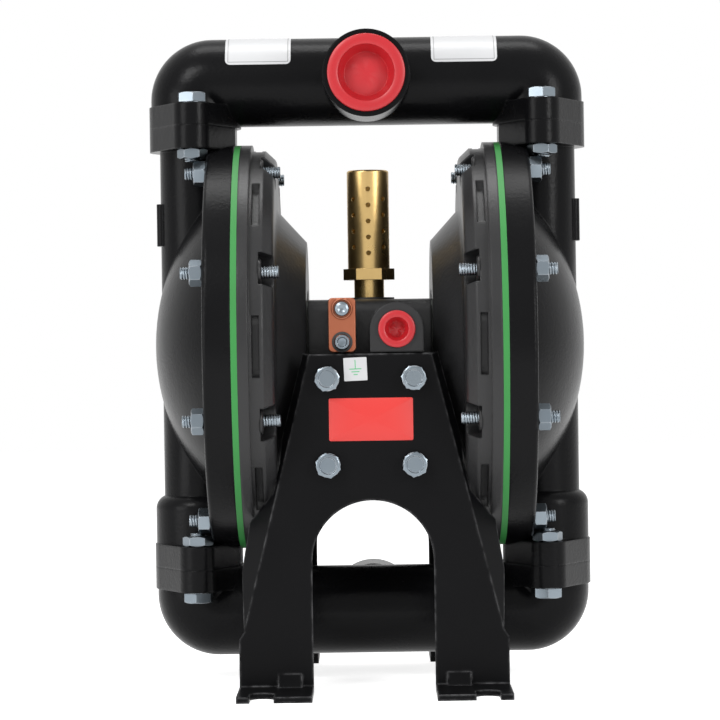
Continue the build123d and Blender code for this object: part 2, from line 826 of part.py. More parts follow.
with BuildPart() as manifold:
    for radius, mode in ((tube_radius, Mode.ADD), (tube_bore, Mode.SUBTRACT)):
        with BuildSketch(elbow_plane):
            Circle(radius)
        extrude(amount=-elbow_start, mode=mode)
        with BuildSketch(elbow_plane):
            Circle(radius)
            with Locations((0, (radius - elbow_radius) / 2)):
                Rectangle(2 * radius, radius + elbow_radius, mode=Mode.INTERSECT)
        revolve(axis=elbow_axis, revolution_arc=90, mode=mode)
        if mode == Mode.ADD:
            with BuildSketch(level(joint_height)):
                with Locations((leg_offset, 0)):
                    Circle(ear_boss)
                with Locations(*ears):
                    Circle(ear_radius)
                make_hull()
            extrude(amount=manifold_flange)
        with BuildSketch(level(joint_height)):
            with Locations((leg_offset, 0)):
                Circle(radius)
        extrude(amount=tube_rise - elbow_radius, mode=mode)
    with BuildSketch(level(joint_height)):
        with Locations(*ears):
            Circle(bolt_radius + fit_gap)
    extrude(amount=manifold_flange, mode=Mode.SUBTRACT)
    with BuildSketch(level(stop_base)):
        with Locations((leg_offset, 0)):
            Rectangle(stop_width, stop_length)
    extrude(amount=tube_height + tube_bore + 1.0 - stop_base)
    mirror(about=Plane.YZ)
    with BuildSketch(front.offset(tube_bore)):
        with Locations((0, tube_height)):
            Circle(port_boss_radius)
    extrude(amount=port_face - tube_bore)
    with BuildSketch(front.offset(port_face)):
        with Locations((0, tube_height)):
            Circle(port_bore)
    extrude(amount=-port_depth, mode=Mode.SUBTRACT)
    with BuildSketch(front.offset(port_face - port_depth)):
        with Locations((0, tube_height)):
            Circle(port_bore - port_shoulder)
    extrude(amount=-(port_face - port_depth), mode=Mode.SUBTRACT)
write(manifold, "outlet_manifold")
with BuildPart() as inlet_manifold:
    add(turned_over(manifold))
write(inlet_manifold, "inlet_manifold")

# ---- bolts and nuts at the four manifold joints
bolt_head_seat = joint_height + manifold_flange
bolt_nut_seat = joint_height - cap_ear_thickness
bolt_places = [(side * leg_offset, y) for side in (-1, 1) for y in (-ear_spread, ear_spread)]

with BuildPart() as joint_bolts:
    with BuildSketch(level(bolt_head_seat)):
        with Locations(*bolt_places):
            RegularPolygon(bolt_flats / 2, 6, major_radius=False)
    extrude(amount=bolt_head)
    chamfer(joint_bolts.faces().sort_by(Axis.Z)[-4:].edges(), 0.6)
    with BuildSketch(level(bolt_head_seat)):
        with Locations(*bolt_places):
            Circle(bolt_radius)
    extrude(amount=-(bolt_head_seat - bolt_nut_seat + bolt_nut + bolt_end))
write(joint_bolts, "outlet_bolts")

with BuildPart() as joint_nuts:
    with BuildSketch(level(bolt_nut_seat)):
        with Locations(*bolt_places):
            RegularPolygon(bolt_flats / 2, 6, major_radius=False, rotation=30)
            Circle(bolt_radius + fit_gap, mode=Mode.SUBTRACT)
    extrude(amount=-bolt_nut)
write(joint_nuts, "outlet_nuts")

for fasteners, name in ((joint_bolts, "inlet_bolts"), (joint_nuts, "inlet_nuts")):
    with BuildPart() as turned:
        add(turned_over(fasteners))
    write(turned, name)

# ---- studs and nuts that clamp a fluid cap, the diaphragm bead and an air cap
with BuildPart() as flange_studs:
    with BuildSketch(across.offset(stud_inner_end)):
        with PolarLocations(stud_circle, stud_count, start_angle=first_stud):
            Circle(stud_radius)
    extrude(amount=stud_outer_end - stud_inner_end)
    chamfer(flange_studs.edges().filter_by(GeomType.CIRCLE), 0.6)
write_pair(flange_studs, "flange_studs")

with BuildPart() as flange_nuts:
    with BuildSketch(across.offset(flange_back)):
        with PolarLocations(stud_circle, stud_count, start_angle=first_stud):
            RegularPolygon(stud_nut_flats / 2, 6, major_radius=False)
            Circle(stud_radius + fit_gap, mode=Mode.SUBTRACT)
    extrude(amount=stud_nut_height)
write_pair(flange_nuts, "flange_nuts")

# ---- front bracket: pressed plate, bent wings, slotted feet with a pressed rib in each bend
foot_z = -axis_height
foot_top = foot_z + sheet
slope = sqrt((knee_half - bracket_top_half)**2 + (bracket_top - knee_z)**2)

with BuildPart() as front_bracket:
    with BuildSketch(front.offset(bracket_seat)):
        with BuildLine():
            arch = CenterArc((0, arch_z), leg_inner, 0, 180)
            Polyline(arch @ 0, (leg_inner, foot_z), (foot_half, foot_z), (foot_half, foot_knee_z),
                     (knee_half, knee_z), (bracket_top_half, bracket_top),
                     (-bracket_top_half, bracket_top), (-knee_half, knee_z),
                     (-foot_half, foot_knee_z), (-foot_half, foot_z), (-leg_inner, foot_z), arch @ 1)
        make_face()
        with Locations(*bracket_bolts_at):
            Circle(bracket_bolt_radius + bracket_hole_gap, mode=Mode.SUBTRACT)
    extrude(amount=sheet)
    for side in (-1, 1):
        with BuildSketch(level(foot_z)):
            with Locations((side * (leg_inner + foot_half) / 2, -(foot_reach + bracket_seat) / 2)):
                Rectangle(foot_half - leg_inner, foot_reach - bracket_seat)
            with Locations((side * slot_x, -slot_center)):
                Circle(slot_width / 2, mode=Mode.SUBTRACT)
            with Locations((side * slot_x, -(slot_center + foot_reach) / 2)):
                Rectangle(slot_width, foot_reach - slot_center, mode=Mode.SUBTRACT)
        extrude(amount=sheet)
        rib_plane = Plane(origin=(side * gusset_x - gusset_width / 2, -plate_face, axis_height + foot_top),
                          x_dir=(0, -1, 0), z_dir=(1, 0, 0))
        with BuildSketch(rib_plane):
            with BuildLine():
                Polyline((0, 0), (gusset_height, 0), (0, -gusset_height), close=True)
            make_face()
        extrude(amount=gusset_width)
        # wing: starts on the sloping edge and leans outwards as it runs back
        top_point = Vector(side * bracket_top_half, -plate_face, axis_height + bracket_top)
        along = Vector(side * (knee_half - bracket_top_half), 0, knee_z - bracket_top).normalized()
        outward = Vector(side * abs(along.Z), 0, abs(along.X))
        lean = outward * sin(radians(wing_angle)) + Vector(0, 1, 0) * cos(radians(wing_angle))
        wing_plane = Plane(origin=top_point, x_dir=along, z_dir=along.cross(lean))
        with BuildSketch(wing_plane):
            with BuildLine():
                Polyline((0, 0), (slope, 0), (slope - wing_foot_cut, wing_foot), (wing_low_end, wing_low),
                         (wing_low_start, wing_low_deep), (relief_end, wing_relief),
                         (relief_start, wing_relief), (wing_high_end, wing_high), (0, wing_top), close=True)
            make_face()
        extrude(amount=-side * sheet)
write(front_bracket, "front_bracket")
with BuildPart() as rear_bracket:
    mirror(front_bracket.part, about=Plane.XZ)
write(rear_bracket, "rear_bracket")

with BuildPart() as front_bolts:
    with BuildSketch(front.offset(plate_face)):
        with Locations(*bracket_bolts_at):
            Circle(bracket_bolt_flange)
    extrude(amount=bracket_bolt_washer)
    with BuildSketch(front.offset(plate_face)):
        with Locations(*bracket_bolts_at):
            RegularPolygon(bracket_bolt_flats / 2, 6, major_radius=False)
    extrude(amount=bracket_bolt_head)
    with BuildSketch(front.offset(plate_face)):
        with Locations(*bracket_bolts_at):
            Circle(bracket_bolt_radius - running_gap)
    extrude(amount=-(sheet + bracket_bolt_grip - 2.0))
write(front_bolts, "front_bracket_bolts")
with BuildPart() as rear_bolts:
    mirror(front_bolts.part, about=Plane.XZ)
write(rear_bolts, "rear_bracket_bolts")

# ---- exhaust muffler: neck, hexagon and drilled barrel
vent_columns = ((0, 5, 0.0), (45, 4, vent_step), (90, 5, 0.0), (135, 4, vent_step))
with BuildPart() as muffler:
    with BuildSketch(level(core_top + muffler_pad)):
        Circle(neck_radius)
    extrude(amount=muffler_base - muffler_hex_height - core_top - muffler_pad)
    with BuildSketch(level(core_top + muffler_pad)):
        Circle(neck_thread - running_gap)
    extrude(amount=-(neck_depth - 0.5))
    with BuildSketch(level(muffler_base - muffler_hex_height)):
        RegularPolygon(muffler_hex_flats / 2, 6, major_radius=False)
    extrude(amount=muffler_hex_height)
    with BuildSketch(level(muffler_base)):
        Circle(muffler_radius)
    extrude(amount=muffler_top - muffler_base)
    fillet(muffler.edges().group_by(Axis.Z)[-1], 1.2)
    with BuildSketch(level(core_top - neck_depth)):
        Circle(neck_thread - neck_wall)
    extrude(amount=muffler_base + neck_depth - core_top, mode=Mode.SUBTRACT)
    with BuildSketch(level(muffler_base)):
        Circle(muffler_bore)
    extrude(amount=muffler_top - muffler_base - muffler_floor, mode=Mode.SUBTRACT)
    for angle, count, rise in vent_columns:
        vent_plane = Plane(origin=(0, 0, axis_height), z_dir=(cos(radians(angle)), sin(radians(angle)), 0),
                           x_dir=(-sin(radians(angle)), cos(radians(angle)), 0))
        with BuildSketch(vent_plane):
            with Locations(*[(0, vent_first + rise + k * vent_pitch) for k in range(count)]):
                Circle(vent_radius)
        extrude(amount=muffler_radius + 1.0, both=True, mode=Mode.SUBTRACT)
write(muffler, "muffler")

# ---- copper ground lug and its two screws
with BuildPart() as ground_lug:
    with BuildSketch(front.offset(lug_back)):
        with Locations((lug_x, (lug_low + lug_high) / 2)):
            RectangleRounded(lug_width, lug_high - lug_low, 5.0)
        with Locations(*lug_screws_at):
            Circle(lug_screw_radius + fit_gap, mode=Mode.SUBTRACT)
    extrude(amount=lug_thickness)
write(ground_lug, "ground_lug")

with BuildPart() as lug_screws:
    with BuildSketch(front.offset(lug_back + lug_thickness)):
        with Locations(*lug_screws_at):
            Circle(lug_screw_head_radius)
    extrude(amount=lug_screw_head)
    fillet(lug_screws.edges().group_by(Axis.Y)[0], 0.8)
    with BuildSketch(front.offset(lug_back + lug_thickness)):
        with Locations(*lug_screws_at):
            Circle(lug_screw_radius - running_gap)
    extrude(amount=-(lug_thickness + lug_screw_grip - 2.0))
    with BuildSketch(front.offset(lug_back + lug_thickness + lug_screw_head)):
        with Locations(*lug_screws_at):
            Rectangle(2 * lug_screw_head_radius, driver_slot)
    extrude(amount=-driver_slot_depth, mode=Mode.SUBTRACT)
write(lug_screws, "lug_screws")


# ---- shipping plugs pushed into the three ports
def port_plug(plane, stem, stem_length, rim, rim_thickness, recess, recess_depth):
    with BuildPart() as plug:
        with BuildSketch(plane):
            Circle(rim)
        extrude(amount=rim_thickness)
        fillet(plug.edges().filter_by(GeomType.CIRCLE), 0.8)
        with BuildSketch(plane):
            Circle(stem)
        extrude(amount=-stem_length)
        with BuildSketch(plane.offset(rim_thickness)):
            Circle(recess)
        extrude(amount=-recess_depth, mode=Mode.SUBTRACT)
    return plug


outlet_plane = Plane(origin=(0, -port_face, axis_height + tube_height), x_dir=(1, 0, 0), z_dir=(0, -1, 0))
inlet_plane = Plane(origin=(0, port_face, axis_height - tube_height), x_dir=(-1, 0, 0), z_dir=(0, 1, 0))
air_plane = Plane(origin=(inlet_x, -inlet_face, axis_height + inlet_z), x_dir=(1, 0, 0), z_dir=(0, -1, 0))
for plane, name in ((outlet_plane, "outlet_plug"), (inlet_plane, "inlet_plug")):
    write(port_plug(plane, port_bore - running_gap, plug_stem, plug_rim, plug_rim_thickness,
                    plug_recess, plug_recess_depth), name)
write(port_plug(air_plane, inlet_bore - running_gap, air_plug_stem, air_plug_rim, air_plug_rim_thickness,
                air_plug_recess, air_plug_recess_depth), "air_inlet_plug")
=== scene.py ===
import json
import math
import bmesh
import bpy
from mathutils import Matrix, Vector


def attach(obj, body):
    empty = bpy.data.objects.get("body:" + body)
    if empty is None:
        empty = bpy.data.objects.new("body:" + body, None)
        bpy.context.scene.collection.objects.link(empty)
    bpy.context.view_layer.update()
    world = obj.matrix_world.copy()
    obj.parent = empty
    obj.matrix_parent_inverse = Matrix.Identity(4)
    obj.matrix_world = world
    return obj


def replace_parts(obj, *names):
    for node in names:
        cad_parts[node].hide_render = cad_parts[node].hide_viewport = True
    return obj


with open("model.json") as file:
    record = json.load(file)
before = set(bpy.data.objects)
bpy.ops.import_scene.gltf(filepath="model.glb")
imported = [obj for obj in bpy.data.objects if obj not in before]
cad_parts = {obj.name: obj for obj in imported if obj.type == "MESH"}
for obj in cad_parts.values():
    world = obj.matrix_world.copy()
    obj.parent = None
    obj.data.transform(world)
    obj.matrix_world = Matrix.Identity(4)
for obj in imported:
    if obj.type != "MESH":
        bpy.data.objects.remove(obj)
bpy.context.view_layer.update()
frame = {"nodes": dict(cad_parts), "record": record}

print("frame loaded:", len(frame["nodes"]), "nodes")

# camera: level with the diaphragm axis, a long lens, leaning a little to one side
cameraLook = {
    "axisHeight": 0.1666,
    "distance": 1.571,
    "focalPixels": 3123.0,
    "pictureSide": 720.0,
    "sensor": 36.0,
    "axisPixel": (370.0, 345.0),
    "lean": 0.83,
}


def placeCamera(look):
    data = bpy.data.cameras.new("studioCamera")
    data.sensor_width = look["sensor"]
    data.lens = look["focalPixels"] / look["pictureSide"] * look["sensor"]
    middle = look["pictureSide"] / 2
    data.shift_x = (middle - look["axisPixel"][0]) / look["pictureSide"]
    data.shift_y = (look["axisPixel"][1] - middle) / look["pictureSide"]
    data.clip_end = 20.0
    camera = bpy.data.objects.new("studioCamera", data)
    camera.location = (0, -look["distance"], look["axisHeight"])
    camera.rotation_euler = (math.pi / 2, math.radians(look["lean"]), 0)
    bpy.context.collection.objects.link(camera)
    bpy.context.scene.camera = camera


placeCamera(cameraLook)
print("camera placed")

# studio: soft lamps, white surroundings, pale floor
studio = {
    "lamps": {
        "keyLamp": {"place": (-0.75, -1.1, 1.15), "aim": (0, 0, 0.17), "size": (0.55, 0.42), "power": 11.0},
        "fillLamp": {"place": (1.0, -1.0, 0.55), "aim": (0, 0, 0.15), "size": (0.4, 0.6), "power": 8.0},
        "sideLamp": {"place": (-1.25, -0.95, 0.3), "aim": (-0.1, 0, 0.22), "size": (0.7, 0.75), "power": 7.0},
        "topLamp": {"place": (0.0, 0.15, 1.3), "aim": (0, 0, 0.2), "size": (0.9, 0.35), "power": 6.0},
    },
    "surround": 0.4,
    "floorColor": (0.86, 0.86, 0.86, 1),
    "floorRough": 0.9,
    "floorGlow": 0.78,
    "floorSide": 7.0,
}
white = (1, 1, 1, 1)


def addLamp(name, spec):
    light = bpy.data.lights.new(name, "AREA")
    light.shape = "RECTANGLE"
    light.size, light.size_y = spec["size"]
    light.energy = spec["power"]
    lamp = bpy.data.objects.new(name, light)
    lamp.location = spec["place"]
    direction = Vector(spec["aim"]) - Vector(spec["place"])
    lamp.rotation_euler = direction.to_track_quat("-Z", "Y").to_euler()
    bpy.context.collection.objects.link(lamp)


def seenDirectly(tree):
    # 1 for camera, glossy and transmission rays, 0 for the rays that light the object
    path = tree.nodes.new("ShaderNodeLightPath")
    seen = path.outputs["Is Camera Ray"]
    for title in ("Is Glossy Ray", "Is Transmission Ray"):
        either = tree.nodes.new("ShaderNodeMath")
        either.operation = "MAXIMUM"
        tree.links.new(seen, either.inputs[0])
        tree.links.new(path.outputs[title], either.inputs[1])
        seen = either.outputs[0]
    return seen


def buildSurround(strength):
    world = bpy.data.worlds.new("studioWorld")
    world.use_nodes = True
    tree = world.node_tree
    tree.nodes.clear()
    shown = tree.nodes.new("ShaderNodeBackground")
    shown.inputs["Color"].default_value = white
    lighting = tree.nodes.new("ShaderNodeBackground")
    lighting.inputs["Color"].default_value = white
    lighting.inputs["Strength"].default_value = strength
    mix = tree.nodes.new("ShaderNodeMixShader")
    out = tree.nodes.new("ShaderNodeOutputWorld")
    tree.links.new(seenDirectly(tree), mix.inputs[0])
    tree.links.new(lighting.outputs[0], mix.inputs[1])
    tree.links.new(shown.outputs[0], mix.inputs[2])
    tree.links.new(mix.outputs[0], out.inputs[0])
    bpy.context.scene.world = world


def buildFloor(spec):
    side = spec["floorSide"] / 2
    mesh = bpy.data.meshes.new("studioFloor")
    corners = [(-side, -side, 0), (side, -side, 0), (side, side, 0), (-side, side, 0)]
    mesh.from_pydata(corners, [], [(0, 1, 2, 3)])
    floor = bpy.data.objects.new("studioFloor", mesh)
    bpy.context.collection.objects.link(floor)
    material = bpy.data.materials.new("paleFloor")
    material.use_nodes = True
    tree = material.node_tree
    surface = tree.nodes["Principled BSDF"]
    surface.inputs["Base Color"].default_value = spec["floorColor"]
    surface.inputs["Roughness"].default_value = spec["floorRough"]
    surface.inputs["Specular IOR Level"].default_value = 0.0
    surface.inputs["Emission Color"].default_value = white
    glow = tree.nodes.new("ShaderNodeMath")
    glow.operation = "MULTIPLY"
    glow.inputs[1].default_value = spec["floorGlow"]
    tree.links.new(seenDirectly(tree), glow.inputs[0])
    tree.links.new(glow.outputs[0], surface.inputs["Emission Strength"])
    mesh.materials.append(material)


for lampName, lampSpec in studio["lamps"].items():
    addLamp(lampName, lampSpec)
buildSurround(studio["surround"])
buildFloor(studio)
bpy.context.scene.view_settings.view_transform = "Standard"
print("studio built")

# shader groups shared by the materials; noise scales are per metre
noiseLook = {"coarseStep": 0.17, "broad": 34.0, "patches": 210.0, "cloud": 55.0}
edgeLook = {"from": 0.02, "to": 0.25, "patchFrom": 0.35, "patchTo": 0.65, "width": 0.0008, "samples": 4}
dustLook = {"from": 0.2, "to": 1.0, "color": (0.3, 0.29, 0.27, 1)}
darkPaint = (0.02, 0.02, 0.02, 1)


def newGroup(name, inputs, outputs):
    group = bpy.data.node_groups.new(name, "ShaderNodeTree")
    for title, kind, value in inputs:
        socket = group.interface.new_socket(name=title, in_out="INPUT", socket_type=kind)
        socket.default_value = value
    for title, kind in outputs:
        group.interface.new_socket(name=title, in_out="OUTPUT", socket_type=kind)
    return group, group.nodes.new("NodeGroupInput"), group.nodes.new("NodeGroupOutput")


def mathNode(tree, operation, first, second=0.0, clamp=False):
    node = tree.nodes.new("ShaderNodeMath")
    node.operation = operation
    node.use_clamp = clamp
    for socket, value in zip(node.inputs, (first, second)):
        if isinstance(value, (int, float)):
            socket.default_value = value
        else:
            tree.links.new(value, socket)
    return node.outputs[0]


def mixColor(tree, factor, first, second):
    node = tree.nodes.new("ShaderNodeMix")
    node.data_type = "RGBA"
    for socket, value in ((node.inputs[0], factor), (node.inputs[6], first), (node.inputs[7], second)):
        if isinstance(value, (int, float, tuple)):
            socket.default_value = value
        else:
            tree.links.new(value, socket)
    return node.outputs[2]


def noiseNode(tree, scale, detail, where):
    node = tree.nodes.new("ShaderNodeTexNoise")
    node.inputs["Detail"].default_value = detail
    tree.links.new(where, node.inputs["Vector"])
    if isinstance(scale, (int, float)):
        node.inputs["Scale"].default_value = scale
    else:
        tree.links.new(scale, node.inputs["Scale"])
    return node.outputs["Fac"]


def ramp(tree, value, low, high):
    node = tree.nodes.new("ShaderNodeMapRange")
    node.inputs["From Min"].default_value = low
    node.inputs["From Max"].default_value = high
    tree.links.new(value, node.inputs["Value"])
    return node.outputs["Result"]


def buildGrainGroup():
    # two scales of noise: the skin of a casting, moulding or rolled sheet
    group, given, result = newGroup("surfaceGrain", [
        ("Scale", "NodeSocketFloat", 900.0), ("Coarse Share", "NodeSocketFloat", 0.4),
        ("Roughness", "NodeSocketFloat", 0.4), ("Roughness Swing", "NodeSocketFloat", 0.1)],
        [("Height", "NodeSocketFloat"), ("Roughness", "NodeSocketFloat"), ("Mottle", "NodeSocketFloat")])
    place = group.nodes.new("ShaderNodeTexCoord").outputs["Object"]
    fine = noiseNode(group, given.outputs["Scale"], 3.0, place)
    coarseScale = mathNode(group, "MULTIPLY", given.outputs["Scale"], noiseLook["coarseStep"])
    coarse = noiseNode(group, coarseScale, 2.0, place)
    share = mathNode(group, "MULTIPLY", coarse, given.outputs["Coarse Share"])
    height = mathNode(group, "ADD", fine, share)
    broad = noiseNode(group, noiseLook["broad"], 4.0, place)
    centred = mathNode(group, "SUBTRACT", broad, 0.5)
    swing = mathNode(group, "MULTIPLY", centred, given.outputs["Roughness Swing"])
    rough = mathNode(group, "ADD", given.outputs["Roughness"], swing)
    group.links.new(height, result.inputs["Height"])
    group.links.new(rough, result.inputs["Roughness"])
    group.links.new(broad, result.inputs["Mottle"])
    return group


def buildEdgeGroup():
    # paint rubbed thin, or metal polished, along the edges; on the black sheet and the red plugs this band is
    # a painted highlight instead
    group, given, result = newGroup("edgeWearAndHighlight", [
        ("Color", "NodeSocketColor", darkPaint), ("Worn And Sheen Color", "NodeSocketColor", (0.1, 0.1, 0.1, 1)),
        ("Amount", "NodeSocketFloat", 0.4), ("Width", "NodeSocketFloat", edgeLook["width"])],
        [("Color", "NodeSocketColor"), ("Mask", "NodeSocketFloat")])
    place = group.nodes.new("ShaderNodeTexCoord").outputs["Object"]
    rounded = group.nodes.new("ShaderNodeBevel")
    rounded.samples = edgeLook["samples"]
    group.links.new(given.outputs["Width"], rounded.inputs["Radius"])
    geometry = group.nodes.new("ShaderNodeNewGeometry")
    dot = group.nodes.new("ShaderNodeVectorMath")
    dot.operation = "DOT_PRODUCT"
    group.links.new(rounded.outputs[0], dot.inputs[0])
    group.links.new(geometry.outputs["Normal"], dot.inputs[1])
    away = mathNode(group, "SUBTRACT", 1.0, dot.outputs["Value"])
    edge = ramp(group, away, edgeLook["from"], edgeLook["to"])
    patches = noiseNode(group, noiseLook["patches"], 3.0, place)
    patchy = ramp(group, patches, edgeLook["patchFrom"], edgeLook["patchTo"])
    wornAndSheen = mathNode(group, "MULTIPLY", edge, patchy)
    mask = mathNode(group, "MULTIPLY", wornAndSheen, given.outputs["Amount"], clamp=True)
    color = mixColor(group, mask, given.outputs["Color"], given.outputs["Worn And Sheen Color"])
    group.links.new(color, result.inputs["Color"])
    group.links.new(mask, result.inputs["Mask"])
    return group


def buildDustGroup():
    # a thin veil on surfaces that face up
    group, given, result = newGroup("dustVeil", [
        ("Color", "NodeSocketColor", darkPaint), ("Dust Color", "NodeSocketColor", dustLook["color"]),
        ("Amount", "NodeSocketFloat", 0.05)],
        [("Color", "NodeSocketColor"), ("Mask", "NodeSocketFloat")])
    place = group.nodes.new("ShaderNodeTexCoord").outputs["Object"]
    geometry = group.nodes.new("ShaderNodeNewGeometry")
    split = group.nodes.new("ShaderNodeSeparateXYZ")
    group.links.new(geometry.outputs["Normal"], split.inputs[0])
    upward = ramp(group, split.outputs["Z"], dustLook["from"], dustLook["to"])
    cloud = noiseNode(group, noiseLook["cloud"], 5.0, place)
    veil = mathNode(group, "MULTIPLY", upward, cloud)
    mask = mathNode(group, "MULTIPLY", veil, given.outputs["Amount"], clamp=True)
    color = mixColor(group, mask, given.outputs["Color"], given.outputs["Dust Color"])
    group.links.new(color, result.inputs["Color"])
    group.links.new(mask, result.inputs["Mask"])
    return group


groups = {"grain": buildGrainGroup(), "edge": buildEdgeGroup(), "dust": buildDustGroup()}
print("shader groups built")

